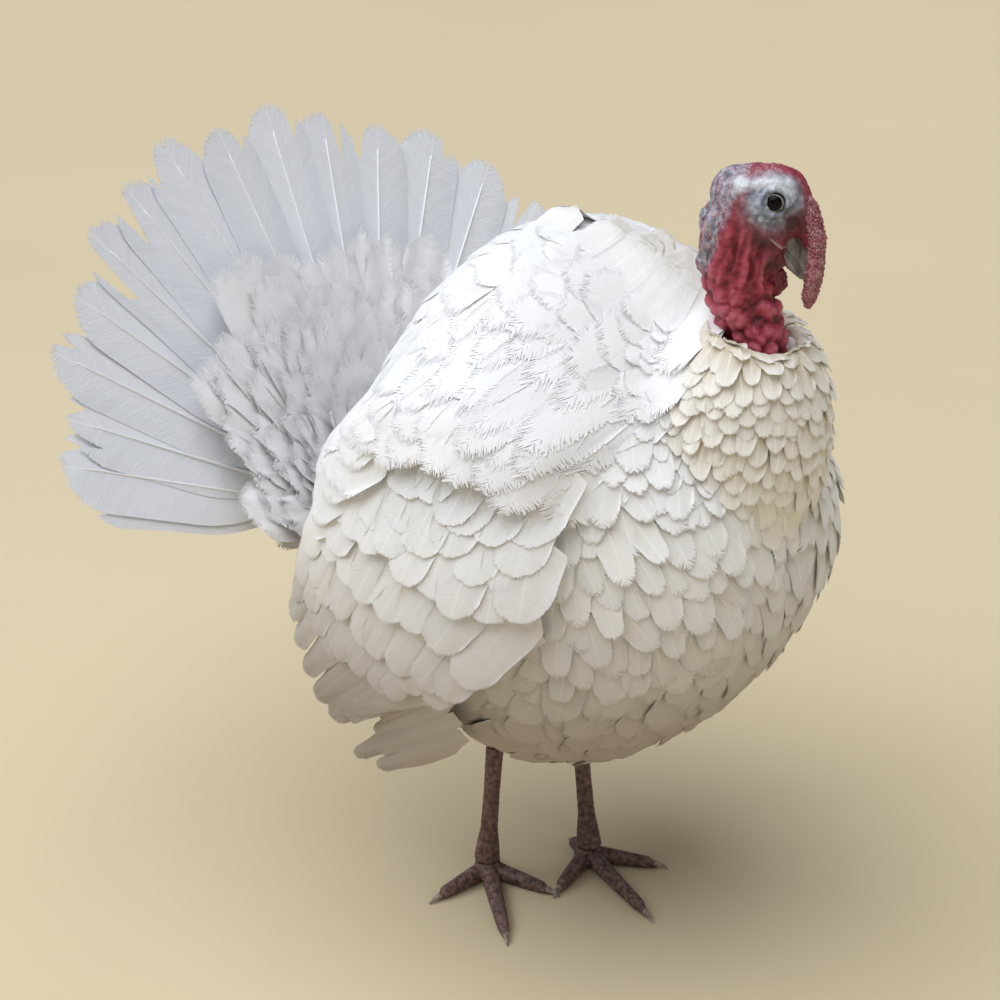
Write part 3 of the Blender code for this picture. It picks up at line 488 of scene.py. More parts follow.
# ---------------------------------------------------------------- one feather
class Leaf:
    """The grid that every feather mesh is made on: rows from root to tip, columns across, top and
    underside."""

    def __init__(self, rows, columns):
        self.rows, self.columns = rows, columns
        self.u = np.linspace(0, 1, rows)[:, None] * np.ones((1, columns))
        spread = np.sin(np.linspace(-1, 1, columns) * math.pi / 2)
        self.v = np.ones((rows, 1)) * np.where(np.abs(spread) < 1e-9, 0, spread)[None]
        inner = np.zeros((rows, columns), bool)
        inner[1:-1, 1:-1] = True
        self.inner = inner
        top = np.arange(rows * columns).reshape(rows, columns)
        under = top.copy()
        under[inner] = rows * columns + np.arange(inner.sum())
        quads = []
        for grid, flip in ((top, False), (under, True)):
            corners = np.stack([grid[:-1, :-1], grid[1:, :-1], grid[1:, 1:], grid[:-1, 1:]], -1).reshape(
                -1, 4
            )
            quads.append(corners[:, ::-1] if flip else corners)
        self.quads = np.concatenate(quads)
        self.count = rows * columns + int(inner.sum())


PELT_THICK, VANE_THICK, TAIL_THICK = 0.0007, 0.0006, 0.0005  # of a vane, on the body, elsewhere, in the tail
BODY_LEAF = Leaf(9, 9)
FINE_LEAF = Leaf(13, 13)
FLIGHT_LEAF = Leaf(32, 25)


def each(values, count):
    """A value, or one for each feather, shaped to go with feathers on a leaf grid."""
    return np.broadcast_to(np.asarray(values, float), (count,))[:, None, None]


def vane_shape(leaf, length, width, base, full, point, ragged, splits=0, side_bias=0.0, split_depth=0.10):
    """Flat outlines of feathers on a leaf grid: distance along and across, for each feather in turn."""
    n = len(length)
    u, v = leaf.u[None], leaf.v[None]
    length, width = length[:, None, None], width[:, None, None]
    base, point, ragged = (each(x, n) for x in (base, point, ragged))
    round_tip = np.minimum(width / (2 * length) * 1.1, 0.7)
    end = 1 - round_tip + round_tip * np.sqrt(np.clip(1 - v**2, 0, 1))
    frayed = RANDOM.random((n, 1, leaf.columns)) ** 2
    end = end * (1 - ragged * frayed)
    sides = base + (1 - base) * smooth_step(0, full, u)
    sides = sides * (1 - point * smooth_step(0.45, 1.0, u))
    across = v * width / 2 * sides
    slit = 1.6 / leaf.columns
    for _ in range(splits):
        place = (RANDOM.choice([-1.0, 1.0], n) * RANDOM.uniform(0.25, 0.70, n))[:, None, None]
        depth = RANDOM.uniform(0.03, split_depth, n)[:, None, None] * (RANDOM.random(n)[:, None, None] < 0.55)
        end = end - depth * bump(v, place, slit)
        part = smooth_step(1 - 1.6 * depth - 0.01, 1.0, u) * (depth > 0) * width * 0.035
        across = across + part * np.tanh((v - place) / slit) * bump(v, place, 0.45)
    along = u * end * length
    across = across + side_bias * width * u**2
    return along, across


def feather_mesh(name, leaf, places, along, across, tones, finish):
    """Joins feathers into one mesh. Places are (feathers, rows, columns, top and underside, 3)."""
    n = len(places)
    top = places[..., 0, :].reshape(n, -1, 3)
    under = places[..., 1, :][:, leaf.inner]
    points = np.concatenate([top, under], 1)
    quads = (leaf.quads[None] + (np.arange(n) * leaf.count)[:, None, None]).reshape(-1, 4)
    mesh = array_mesh(name, points, quads)
    reach = np.broadcast_to(leaf.u[None], along.shape)

    def spread(values):
        return np.concatenate([values.reshape(n, -1), values[:, leaf.inner]], 1)

    grid = np.stack([spread(across * 1000), spread(along * 1000)], -1).reshape(-1, 2)
    layer = mesh.uv_layers.new(name="vane_mm")
    layer.data.foreach_set("uv", grid[quads.ravel()].astype(np.float32).ravel())
    float_attribute(mesh, "reach", spread(reach))
    float_attribute(mesh, "tone", np.repeat(tones, leaf.count))
    x, z = points[..., 0].ravel(), points[..., 2].ravel()
    # Painted shade: vanes below about half a metre darken the lower they lie, fading out towards the tail.
    float_attribute(mesh, "stain", smooth_step(0.50, 0.21, z) * smooth_step(-0.21, -0.10, x))
    rim = np.concatenate([~leaf.inner.ravel(), np.zeros(leaf.count - leaf.inner.size, bool)])
    ends = np.zeros(len(mesh.edges) * 2, np.int32)
    mesh.edges.foreach_get("vertices", ends)
    sharp = rim[ends.reshape(-1, 2) % leaf.count].all(1)
    mesh.attributes.new("sharp_edge", "BOOLEAN", "EDGE").data.foreach_set("value", sharp)
    mesh.materials.append(finish)
    return mesh


def vane_height(leaf, width, root, tip, cup, curl, ridge, lift_power, ripple):
    """Height of the vane over the skin below it: it rises from its root to its tip and is cupped across."""
    n = len(width)
    u, v = leaf.u[None], leaf.v[None]
    root, tip, cup, curl = (each(x, n) for x in (root, tip, cup, curl))
    height = root + (tip - root) * u**lift_power
    height = height - cup * width[:, None, None] * 0.5 * v**2 * smooth_step(0.0, 0.5, u)
    height = height + curl * u**4
    height = height + ridge * np.exp(-((v / 0.08) ** 2)) * (1 - 0.7 * u)
    phase = RANDOM.uniform(0, 2 * math.pi, (n, 1, 1))
    pitch = RANDOM.uniform(2.0, 4.5, (n, 1, 1))
    return height + ripple * np.sin(phase + pitch * v * 2 + 3 * u) * u * np.abs(v)


def lay_on_skin(skin, roots, directions, normals, along, across, height):
    """Lays feathers along a skin, each vertex at its own height over it."""
    side = unit(np.cross(normals, directions))
    flat = (
        roots[:, None, None]
        + directions[:, None, None] * along[..., None]
        + side[:, None, None] * across[..., None]
    )
    spots, out = skin.nearest(flat)
    top = spots + out * height[..., None]
    under = spots + out * (height - PELT_THICK)[..., None]
    return np.stack([top, under], 3)


# ---------------------------------------------------------------- the pelt
PELT_NODES = ["back_plumage", "flank_plumage_right", "flank_plumage_left", "belly_plumage", "breast_plumage"]
PELT_NODES += ["rump_plumage", "neck_ruff"]
PELT_FINISH = {"neck_ruff": RUFF_VANE, "back_plumage": BACK_VANE, "rump_plumage": BACK_VANE}
DOWN_DEPTH = 0.0015  # how far the down lies under the skin that the feathers are laid on
PELT_SPOTS = 26000  # places tried for a feather
COLLAR_GAP = (0.066, 0.043)  # no feather starts this near the neck's axis, behind it and in front
SHELLS = ["body_shell_right", "body_shell_left"]
NECK = np.array(JOINTS["head_turn"]["pos_m"])
PELT = Surface(remeshed("pelt", PELT_NODES, voxel=0.006, rounds=12, hulls=[SHELLS]))


def tracts(places, normals):
    """How much of each feather tract a place belongs to: ruff, back, belly, rump, and breast for the rest."""
    x, z = places[:, 0], places[:, 2]
    axis_x = NECK[0] + (z - 0.60) * 0.26
    from_neck = np.hypot(x - axis_x, places[:, 1])
    ruff = (1 - smooth_step(0.088, 0.122, from_neck)) * smooth_step(0.500, 0.535, z)
    back = smooth_step(0.25, 0.62, normals[:, 2]) * (1 - ruff) * (1 - smooth_step(0.20, 0.26, x))
    belly = smooth_step(0.15, 0.70, -normals[:, 2]) * (1 - ruff)
    rump = (1 - smooth_step(-0.085, -0.030, x)) * (1 - ruff)
    return ruff, back, belly, rump


TRACT_SIZES = {  # feather length, width, spacing
    "breast": (0.066, 0.035, 0.0215),
    "ruff": (0.036, 0.022, 0.0115),
    "back": (0.086, 0.062, 0.0300),
    "belly": (0.066, 0.050, 0.0280),
    "rump": (0.070, 0.050, 0.0240),
}


def tract_sizes(ruff, back, belly, rump):
    sizes = np.array(TRACT_SIZES["breast"])[None] * np.ones((len(ruff), 1))
    for name, share in (("belly", belly), ("back", back), ("rump", rump), ("ruff", ruff)):
        sizes = mix(sizes, np.array(TRACT_SIZES[name])[None], share[:, None])
    return sizes


def feather_flow(places, normals, ruff, back, belly, rump):
    """The way the feathers point: back over the back, down and in on the breast, away from the neck on
    the ruff."""
    x, y, _ = places.T
    side = np.tanh(y / 0.05)
    front = smooth_step(0.12, 0.30, x)
    ones = np.ones_like(x)
    breast = np.stack([mix(-0.55, 0.18, front), -0.38 * side * front, -ones], -1)
    over_back = np.stack([-ones, 0.30 * side, -0.15 * ones], -1)
    under = np.stack([-ones, 0 * x, -0.55 * ones], -1)
    tail = np.stack([-ones, 0 * x, 0.10 * ones], -1)
    out = np.stack([x - NECK[0], y, 0 * x], -1)
    collar = unit(out) * 0.75 + np.array([0.0, 0.0, -1.0])
    flow = breast
    for way, share in ((under, belly), (over_back, back), (tail, rump), (collar, ruff)):
        flow = mix(flow, way, share[:, None])
    flow = flow - normals * (flow * normals).sum(1, keepdims=True)
    return unit(flow)


def grow_body_plumage():
    places, normals = PELT.scattered(PELT_SPOTS)
    neck_gap = np.hypot(places[:, 0] - NECK[0], places[:, 1])
    clear = np.where(places[:, 0] < NECK[0] - 0.02, *COLLAR_GAP)
    outer = ~((neck_gap < clear) & (places[:, 2] > 0.45))
    places, normals = places[outer], normals[outer]
    shares = tracts(places, normals)
    sizes = tract_sizes(*shares)
    kept = spaced(places, sizes[:, 2])
    places, normals, sizes = places[kept], normals[kept], sizes[kept]
    ruff, back, belly, rump = (s[kept] for s in shares)
    flow = feather_flow(places, normals, ruff, back, belly, rump)
    n = len(places)
    turn = np.radians(RANDOM.normal(0, 1, n) * mix(mix(10, 12, back), 7, ruff))
    side = np.cross(normals, flow)
    flow = unit(flow * np.cos(turn)[:, None] + side * np.sin(turn)[:, None])
    size = RANDOM.uniform(0.80, 1.20, n)
    length, width = sizes[:, 0] * size, sizes[:, 1] * size * RANDOM.uniform(0.92, 1.08, n)
    roots = places - flow * (length * 0.55)[:, None]
    roots, out = PELT.nearest(roots)
    flow = unit(flow - out * (flow * out).sum(1, keepdims=True))
    point = mix(mix(0.24, 0.0, np.maximum(back, belly)), 0.12, ruff)
    ragged = mix(mix(0.03, 0.07, back), 0.02, ruff) + 0.04 * rump
    along, across = vane_shape(BODY_LEAF, length, width, base=0.35, full=0.4, point=point, ragged=ragged)
    tips = mix(mix(0.0075, 0.0042, np.maximum(back, rump)), 0.0062, ruff) * RANDOM.uniform(0.6, 1.45, n)
    cup = mix(mix(0.13, 0.05, np.maximum(back, rump)), 0.20, ruff)
    rise = {"curl": 0.0, "ridge": 0.0002, "lift_power": 1.2, "ripple": 0.0016}
    height = vane_height(BODY_LEAF, width, root=-0.0008, tip=tips, cup=cup, **rise)
    laid = lay_on_skin(PELT, roots, flow, out, along, across, height)
    owner = nearest_node(places, PELT_NODES)
    tones = RANDOM.uniform(0, 1, n)
    for index, node in enumerate(PELT_NODES):
        own = owner == index
        finish = PELT_FINISH.get(node, BODY_VANE)
        name = node.replace("_plumage", "_feathers").replace("neck_ruff", "ruff_feathers")
        mesh = feather_mesh(name, BODY_LEAF, laid[own], along[own], across[own], tones[own], finish)
        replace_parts(show(name, mesh, "frame"), node)
    points, normals = mesh_arrays(PELT.mesh)
    move_points(PELT.mesh, points - normals * DOWN_DEPTH)
    show("down_layer", PELT.mesh, "frame", DOWN)


def nearest_node(places, names):
    """The index of the frame node that each place is nearest to."""
    gaps = []
    for name in names:
        mesh = NODES[name].data
        tree = BVHTree.FromPolygons([v.co for v in mesh.vertices], [tuple(p.vertices) for p in mesh.polygons])
        gaps.append([tree.find_nearest(p)[3] for p in places.tolist()])
    return np.argmin(np.array(gaps), axis=0)


def feather_rings(name, foot, lean, rings, way, behind=0.0):
    """Rings of short feathers that stand round an upright axis, up or down from their roots, and curl
    outwards."""
    parts = []
    for count, radius, root, tall, wide, spread in rings:
        around = np.linspace(0, 2 * math.pi, count, endpoint=False) + radius * 40
        around = around + RANDOM.normal(0, 0.05, count)
        rear = (1 - np.cos(around)) / 2
        length = tall * (1 - 0.45 * behind + behind * rear**2) * RANDOM.uniform(0.9, 1.1, count)
        along, across = vane_shape(
            FINE_LEAF, length, wide * RANDOM.uniform(0.9, 1.15, count), 0.5, 0.4, 0.10, 0.03
        )
        share = along / length[:, None, None]
        out = radius + spread * share**2.2 + 0.10 * np.abs(across) * share
        turn = around[:, None, None] + across / out
        height = root + way * (along * (1 - 0.22 * share**2) - 0.10 * np.abs(across))
        sides = []
        for drop in (0.0, VANE_THICK):
            x = foot[0] + lean * (height - root) + (out - drop) * np.cos(turn)
            sides.append(np.stack([x, foot[1] + (out - drop) * np.sin(turn), height], -1))
        parts.append((np.stack(sides, 3), along, across))
    laid, along, across = joined(parts)
    mesh = feather_mesh(name, FINE_LEAF, laid, along, across, RANDOM.random(len(laid)), BODY_VANE)
    if way > 0:
        mesh.flip_normals()
    show(name, mesh, "frame")


COLLAR_RINGS = [  # feathers, radius, height of the roots, length, width, how far the tips curl out
    (15, 0.0232, 0.604, 0.042, 0.024, 0.004),
    (17, 0.0275, 0.610, 0.046, 0.024, 0.010),
    (19, 0.0335, 0.606, 0.050, 0.024, 0.014),
]


def grow_thighs():
    """Down-pointing tufts that close the gap between the belly and each shank."""
    for side in SIDES:
        low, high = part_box(f"leg_{side}")
        foot, knee = centre_of(f"leg_{side}"), high.z
        wide = (high.y - low.y) / 2
        rings = [
            (9, wide + 0.002, knee + 0.075, 0.085, 0.026, 0.003),
            (11, wide + 0.010, knee + 0.080, 0.080, 0.030, 0.006),
            (13, wide + 0.020, knee + 0.085, 0.072, 0.034, 0.010),
        ]
        feather_rings(f"thigh_tuft_{side}", foot, 0.0, rings, -1.0)


feather_rings("neck_collar", NECK, 0.12, COLLAR_RINGS, 1.0, 0.40)
grow_thighs()
grow_body_plumage()


# ---------------------------------------------------------------- tail fan
HUB = np.array(JOINTS["fan_spread"]["pos_m"])
PIN = -unit(np.array(JOINTS["fan_spread"]["axis"]))  # forward along the pin
ACROSS = np.array([0.0, 1.0, 0.0])
UP_FAN = unit(np.cross(PIN, ACROSS))
UP_FAN = UP_FAN * np.sign(UP_FAN[2])
FAN_NODES = sorted(name for name in NODES if name.startswith("tail_feather_"))
CUP = math.tan(math.radians(16.0))  # how far the vanes reach forward, for each metre out
BEND_R = 0.030  # the vanes bend forward from this radius out
VANE_FOOT = 0.085  # how far from the pin each tail vane starts
QUILL_ROOT = 0.012  # how far from the pin each quill starts


def to_fan(points):
    """Fan coordinates: up the fan, to the bird's left, forward along the pin."""
    local = points - HUB
    return np.stack([local @ UP_FAN, local @ ACROSS, local @ PIN], -1)


def from_fan(u, v, w):
    return HUB + u[..., None] * UP_FAN + v[..., None] * ACROSS + w[..., None] * PIN


def on_cone(angle, along, across, level):
    """A place on the fan's cone, at a distance along and across a feather at this angle."""
    u = along * np.cos(angle) - across * np.sin(angle)
    v = along * np.sin(angle) + across * np.cos(angle)
    w = level + CUP * np.maximum(np.hypot(along, across) - BEND_R, 0)
    return from_fan(u, v, w)


def grow_tail():
    for name in FAN_NODES:
        local = to_fan(node_points(name))
        radius = np.hypot(local[:, 0], local[:, 1])
        tip = local[radius > radius.max() - 0.03].mean(0)
        angle = math.atan2(tip[1], tip[0])
        level = (local[:, 2] - CUP * np.maximum(radius - BEND_R, 0)).mean()
        reach = radius.max() * RANDOM.uniform(0.975, 1.03)
        length = np.array([reach - VANE_FOOT])
        width = np.array([0.078 * RANDOM.uniform(0.94, 1.06)])
        leaf = FLIGHT_LEAF
        bend = RANDOM.uniform(-0.05, 0.05)
        shape = {"base": 0.16, "full": 0.62, "point": 0.0, "ragged": 0.012, "splits": 2, "split_depth": 0.17}
        along, across = vane_shape(leaf, length, width, side_bias=bend, **shape)
        rise = {"root": 0.0, "tip": 0.0, "cup": 0.07, "curl": 0.001, "ridge": 0.0006, "ripple": 0.0003}
        height = vane_height(leaf, width, lift_power=1.0, **rise)
        lift = level + height
        places = [on_cone(angle, along + VANE_FOOT, across, lift - drop) for drop in (0.0, TAIL_THICK)]
        laid = np.stack(places, 3)
        mesh = feather_mesh(name, leaf, laid, along, across, RANDOM.random(1), TAIL_VANE)
        mesh.flip_normals()
        piece = show(name.replace("tail_feather", "tail_vane"), mesh, f"feather_{name[-2:]}")
        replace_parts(piece, name)
        quill = quill_mesh(name, angle, level, reach)
        show(
            name.replace("tail_feather", "tail_quill"), quill, f"feather_{name[-2:]}", TAIL_VANE
        )


def quill_mesh(name, angle, level, reach):
    """The bare quill, from the eye on the pin to the foot of the vane, then on along the vane as its
    raised shaft."""
    along = np.linspace(QUILL_ROOT, reach - 0.03, 30)
    thick = np.interp(along, [QUILL_ROOT, 0.03, 0.10, reach], [0.0012, 0.0016, 0.0019, 0.0005])
    centres = on_cone(angle, along, 0 * along, level + 0.0009 + 0.5 * thick)
    return tube(name, centres, thick, PIN)


def grow_fan_rows(name, node, rows, front, finish):
    """Rows of soft feathers on the fan's cone, longest first, each over the one before."""
    pad = to_fan(node_points(node))
    radius = np.hypot(pad[:, 0], pad[:, 1])
    levels = pad[:, 2] - CUP * np.maximum(radius - BEND_R, 0)
    level = levels.max() if front > 0 else levels.min()
    leaf = FINE_LEAF
    parts = []
    for reach, n, spread, length, width, lift in rows:
        angle = np.radians(np.linspace(-spread, spread, n) + RANDOM.uniform(-3.5, 3.5, n))
        tip = reach * (1 + 0.16 * np.cos(angle * 1.1)) * RANDOM.uniform(0.90, 1.10, n)
        size = length * RANDOM.uniform(0.9, 1.1, n)
        wide = width * RANDOM.uniform(0.9, 1.12, n)
        along, across = vane_shape(leaf, size, wide, base=0.4, full=0.4, point=0.05, ragged=0.10, splits=1)
        rise = {"cup": 0.06, "curl": 0.0, "ridge": 0.0001, "lift_power": 1.3, "ripple": 0.0045}
        height = vane_height(leaf, wide, 0.0, lift, **rise)
        start = np.maximum(tip - size, QUILL_ROOT)[:, None, None]
        ring = angle[:, None, None]
        spot = along + start
        places = [on_cone(ring, spot, across, level + front * (height - drop)) for drop in (0.0, VANE_THICK)]
        parts.append((np.stack(places, 3), along, across))
    laid, along, across = joined(parts)
    mesh = feather_mesh(name, leaf, laid, along, across, RANDOM.random(len(laid)), finish)
    if front > 0:
        mesh.flip_normals()
    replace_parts(show(name, mesh, "fan"), node)


COVERT_ROWS = [  # tip radius, feathers, spread, length, width, rise of the tip
    (0.236, 19, 80.0, 0.130, 0.066, 0.006),
    (0.214, 19, 83.0, 0.125, 0.066, 0.010),
    (0.190, 18, 85.0, 0.120, 0.066, 0.014),
    (0.164, 17, 88.0, 0.110, 0.064, 0.019),
    (0.138, 16, 90.0, 0.100, 0.062, 0.025),
    (0.110, 14, 92.0, 0.085, 0.058, 0.031),
    (0.084, 12, 94.0, 0.066, 0.052, 0.038),
    (0.058, 10, 96.0, 0.046, 0.044, 0.044),
]
UNDERTAIL_ROWS = [
    (0.160, 16, 82.0, 0.110, 0.050, 0.006),
    (0.125, 14, 84.0, 0.090, 0.046, 0.012),
    (0.090, 12, 86.0, 0.070, 0.042, 0.018),
    (0.058, 9, 90.0, 0.045, 0.036, 0.022),
]
grow_tail()
grow_fan_rows("tail_coverts", "tail_covert_pad", COVERT_ROWS, 1.0, BACK_VANE)
grow_fan_rows("undertail_coverts", "undertail_pad", UNDERTAIL_ROWS, -1.0, BACK_VANE)


# ---------------------------------------------------------------- wings
WING_PANELS = ["coverts", "secondaries", "primaries"]


def bend_terms(x, z):
    x, z = np.asarray(x, float) - 0.06, np.asarray(z, float) - 0.42
    return np.stack([np.ones_like(x), x, z, x * x, x * z, z * z, x**3, x * x * z, x * z * z, z**3], -1)


def wing_fit():
    """The wing's own curved skin, fitted to its three panels, and how far out each panel lies from it."""
    rows, values = [], []
    for n, panel in enumerate(WING_PANELS):
        points = node_points(f"wing_{panel}_right")
        shift = np.zeros((len(points), 2))
        if n:
            shift[:, n - 1] = 1
        rows.append(np.concatenate([bend_terms(points[:, 0], points[:, 2]), shift], 1))
        values.append(-points[:, 1])
    fit = np.linalg.lstsq(np.concatenate(rows), np.concatenate(values), rcond=None)[0]
    return fit[:10], dict(zip(WING_PANELS, (0.0, *fit[10:])))


WING_CURVE, WING_LEVEL = wing_fit()


def wing_row(panel, tips, angles, length, width, root, tip, **shape):
    """One row of wing feathers, given by the places of their tips as (x, z) and the way each one points."""
    n = len(tips)
    leaf = shape.pop("leaf", FINE_LEAF)
    length = np.broadcast_to(length, (n,)) * RANDOM.uniform(0.96, 1.04, n)
    width = np.broadcast_to(width, (n,)) * RANDOM.uniform(0.94, 1.06, n)
    way = np.radians(np.broadcast_to(angles, (n,)) + RANDOM.uniform(-2.0, 2.0, n))
    cup = shape.pop("cup", 0.14)
    curl = shape.pop("curl", -0.001)
    ripple = shape.pop("ripple", 0.0012)
    along, across = vane_shape(leaf, length, width, **shape)
    height = vane_height(leaf, width, root, tip, cup, curl, ridge=0.0006, lift_power=1.1, ripple=ripple)
    forward = np.stack([np.cos(way), np.sin(way)], -1)
    start = tips - forward * length[:, None]
    x = start[:, 0, None, None] + forward[:, 0, None, None] * along - forward[:, 1, None, None] * across
    z = start[:, 1, None, None] + forward[:, 1, None, None] * along + forward[:, 0, None, None] * across
    return {"panel": panel, "x": x, "z": z, "height": height, "along": along, "across": across, "leaf": leaf}


def wing_skin(row):
    return bend_terms(row["x"], row["z"]) @ WING_CURVE + WING_LEVEL[row["panel"]]


def laid_rows(name, rows, side, tones, finish, skin):
    """One mesh of feather rows on a side of the bird, each vertex out from the skin by its own height."""
    sign = SIDES[side]
    parts = []
    for row in rows:
        out = [skin(row) + row["height"] - drop for drop in (0.0, VANE_THICK)]
        parts.append(np.stack([np.stack([row["x"], sign * y, row["z"]], -1) for y in out], 3))
    laid = np.concatenate(parts)
    along, across = (np.concatenate([row[key] for row in rows]) for key in ("along", "across"))
    mesh = feather_mesh(name, rows[0]["leaf"], laid, along, across, tones, finish)
    if sign > 0:
        mesh.flip_normals()
    return mesh


INNER_SECONDARIES = [  # the line of the tips, first and last angle, feathers, length, width, rise of the tip
    ([(0.110, 0.322), (0.020, 0.318), (-0.052, 0.308), (-0.080, 0.372)], -138, -121, 10, 0.135, 0.038, 0.012),
    ([(0.140, 0.338), (0.052, 0.362), (-0.030, 0.372), (-0.048, 0.424)], -128, -120, 9, 0.115, 0.044, 0.015),
    ([(0.160, 0.372), (0.080, 0.412), (0.006, 0.428), (-0.018, 0.462)], -120, -120, 8, 0.095, 0.050, 0.018),
]
COVERT_LOW = [(0.006, 0.452), (0.064, 0.470), (0.116, 0.450), (0.156, 0.430), (0.188, 0.424), (0.212, 0.440)]
COVERT_HIGH = [(0.050, 0.548), (0.130, 0.552), (0.210, 0.528)]
COVERT_ROW_COUNT = 4
PRIMARIES, SECONDARIES = 7, 14  # feathers in each row
PRIMARY_TIPS = [(0.055, 0.285), (-0.020, 0.225), (-0.060, 0.142), (-0.092, 0.146)]
SECONDARY_TIPS = [(0.062, 0.312), (0.018, 0.278), (-0.030, 0.246), (-0.070, 0.214), (-0.100, 0.202)]
SECONDARY_TIPS += [(-0.112, 0.238), (-0.117, 0.276), (-0.117, 0.316), (-0.098, 0.352), (-0.066, 0.392)]


def flight_row(panel, tips, angles, length, width, root, tip, full, point, ragged):
    """A row whose tips are spread evenly along a line."""
    places = polyline(tips, np.linspace(0, 1, len(angles)))
    shape = {"base": 0.5, "full": full, "point": point, "ragged": ragged}
    return wing_row(panel, places, angles, length, width, root, tip, **shape)


def grow_coverts():
    rows = []
    for n in range(COVERT_ROW_COUNT):
        share = n / (COVERT_ROW_COUNT - 1)
        places = np.linspace(0.0, 1.0, 9 + n % 2)
        tips = mix(polyline(COVERT_LOW, places), polyline(COVERT_HIGH, places), share)
        tips = tips + RANDOM.normal(0, 0.005, tips.shape)
        angles = np.linspace(-120, -90, len(places))
        length, width = mix(0.070, 0.056, share), mix(0.046, 0.040, share)
        root = mix(-0.002, -0.030, share**2)
        rise = mix(0.010, 0.001, share) + RANDOM.uniform(-0.001, 0.002, len(places))
        shape = {"base": 0.45, "full": 0.35, "point": 0.06, "ragged": 0.04, "cup": 0.12}
        rows.append(wing_row("coverts", tips, angles, length, width, root, rise, **shape))
    return rows


def grow_wings():
    angles, lengths = np.linspace(-140, -143, PRIMARIES), np.linspace(0.14, 0.25, PRIMARIES)
    rise = np.linspace(0.001, 0.004, PRIMARIES)
    primaries = flight_row("primaries", PRIMARY_TIPS, angles, lengths, 0.028, -0.002, rise, 0.2, 0.40, 0.01)
    angles = np.interp(np.linspace(0, 1, SECONDARIES), [0, 0.5, 0.75, 1], [-146, -142, -130, -122])
    lengths, rise = np.linspace(0.19, 0.17, SECONDARIES), np.linspace(0.001, 0.009, SECONDARIES)
    rows = [
        flight_row("secondaries", SECONDARY_TIPS, angles, lengths, 0.036, -0.003, rise, 0.25, 0.30, 0.012)
    ]
    for line, first, last, count, length, width, lift in INNER_SECONDARIES:
        tips = polyline(line, np.linspace(0, 1, count)) + RANDOM.normal(0, 0.004, (count, 2))
        angles = np.linspace(first, last, count)
        shape = {"base": 0.5, "full": 0.3, "point": 0.16, "ragged": 0.02, "cup": 0.10}
        rows.append(wing_row("secondaries", tips, angles, length, width, 0.002, lift, **shape))
    coverts = grow_coverts()
    for side in SIDES:
        for panel, made in (("primaries", [primaries]), ("secondaries", rows), ("coverts", coverts)):
            tones = RANDOM.random(sum(len(row["x"]) for row in made))
            mesh = laid_rows(f"{panel}_{side}", made, side, tones, WING_VANE, wing_skin)
            piece = show(f"{panel}_{side}", mesh, f"wing_{side}")
            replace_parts(piece, f"wing_{panel}_{side}")


grow_wings()


WING_TOP = [(-0.050, 0.505), (0.045, 0.600), (0.140, 0.598), (0.228, 0.564)]


DRAPE_X, DRAPE_Z = (-0.14, 0.30, 89), (0.38, 0.76, 77)  # first, last, count
OVER_BODY, OVER_WING = 0.004, 0.009  # how far out the drape lies from each
DRAPE_ROUNDS = 16


class Drape:
    """The smooth outline of the body with its wing, as a distance out from the middle plane at each (x,
    z)."""

    def __init__(self):
        self.x, self.z = np.linspace(*DRAPE_X), np.linspace(*DRAPE_Z)
        x, z = np.meshgrid(self.x, self.z, indexing="ij")
        body = np.array([self.body_out(*spot) for spot in zip(x.ravel().tolist(), z.ravel().tolist())])
        body = body.reshape(x.shape)
        above = z - np.interp(x, *np.transpose(WING_TOP))
        on_wing = (1 - smooth_step(0.004, 0.034, above)) * smooth_step(-0.060, -0.030, x)
        on_wing = on_wing * (1 - smooth_step(0.215, 0.235, x))
        wing = bend_terms(x, z) @ WING_CURVE + OVER_WING
        self.out = np.maximum(body + OVER_BODY, mix(body, wing, on_wing))
        for _ in range(DRAPE_ROUNDS):
            edge = np.pad(self.out, 1, mode="edge")
            near = (edge[2:, 1:-1] + edge[:-2, 1:-1] + edge[1:-1, 2:] + edge[1:-1, :-2]) / 4
            self.out = mix(self.out, near, 0.5)

    def body_out(self, x, z):
        spot = PELT.tree.ray_cast((x, 0.6, z), (0.0, -1.0, 0.0))[0]
        return 0.0 if spot is None else spot.y

    def skin(self, row):
        step = self.x[1] - self.x[0], self.z[1] - self.z[0]
        i = np.clip((row["x"] - self.x[0]) / step[0], 0, len(self.x) - 1.001)
        k = np.clip((row["z"] - self.z[0]) / step[1], 0, len(self.z) - 1.001)
        a, b = i.astype(int), k.astype(int)
        low = mix(self.out[a, b], self.out[a + 1, b], i - a)
        high = mix(self.out[a, b + 1], self.out[a + 1, b + 1], i - a)
        return mix(low, high, k - b)


MANTLE_RISES = (-0.046, -0.022, 0.002, 0.026, 0.048)  # of each row's tips over the top of the wing


def grow_mantle():
    """Scapulars: feathers rooted on the body whose tips lie over the upper edge of each wing."""
    drape = Drape()
    rows = []
    shape = {"base": 0.35, "full": 0.4, "point": 0.06, "ragged": 0.04, "cup": 0.08, "ripple": 0.0018}
    for n, rise in enumerate(MANTLE_RISES):
        count = 13 - n % 2
        tips = polyline(WING_TOP, np.linspace(0, 1, count)) + np.array([0.0, rise])
        tips = tips + RANDOM.normal(0, 0.005, (count, 2))
        turns = np.linspace(-150, -106, count) + RANDOM.normal(0, 5, count)
        lift = RANDOM.uniform(0.005, 0.009, count)
        rows.append(wing_row("mantle", tips, turns, 0.084, 0.050, -0.006, lift, **shape))
    tones = RANDOM.random(sum(len(row["x"]) for row in rows))
    for side in SIDES:
        mesh = laid_rows(f"scapulars_{side}", rows, side, tones, BACK_VANE, drape.skin)
        show(f"scapulars_{side}", mesh, "frame")


grow_mantle()


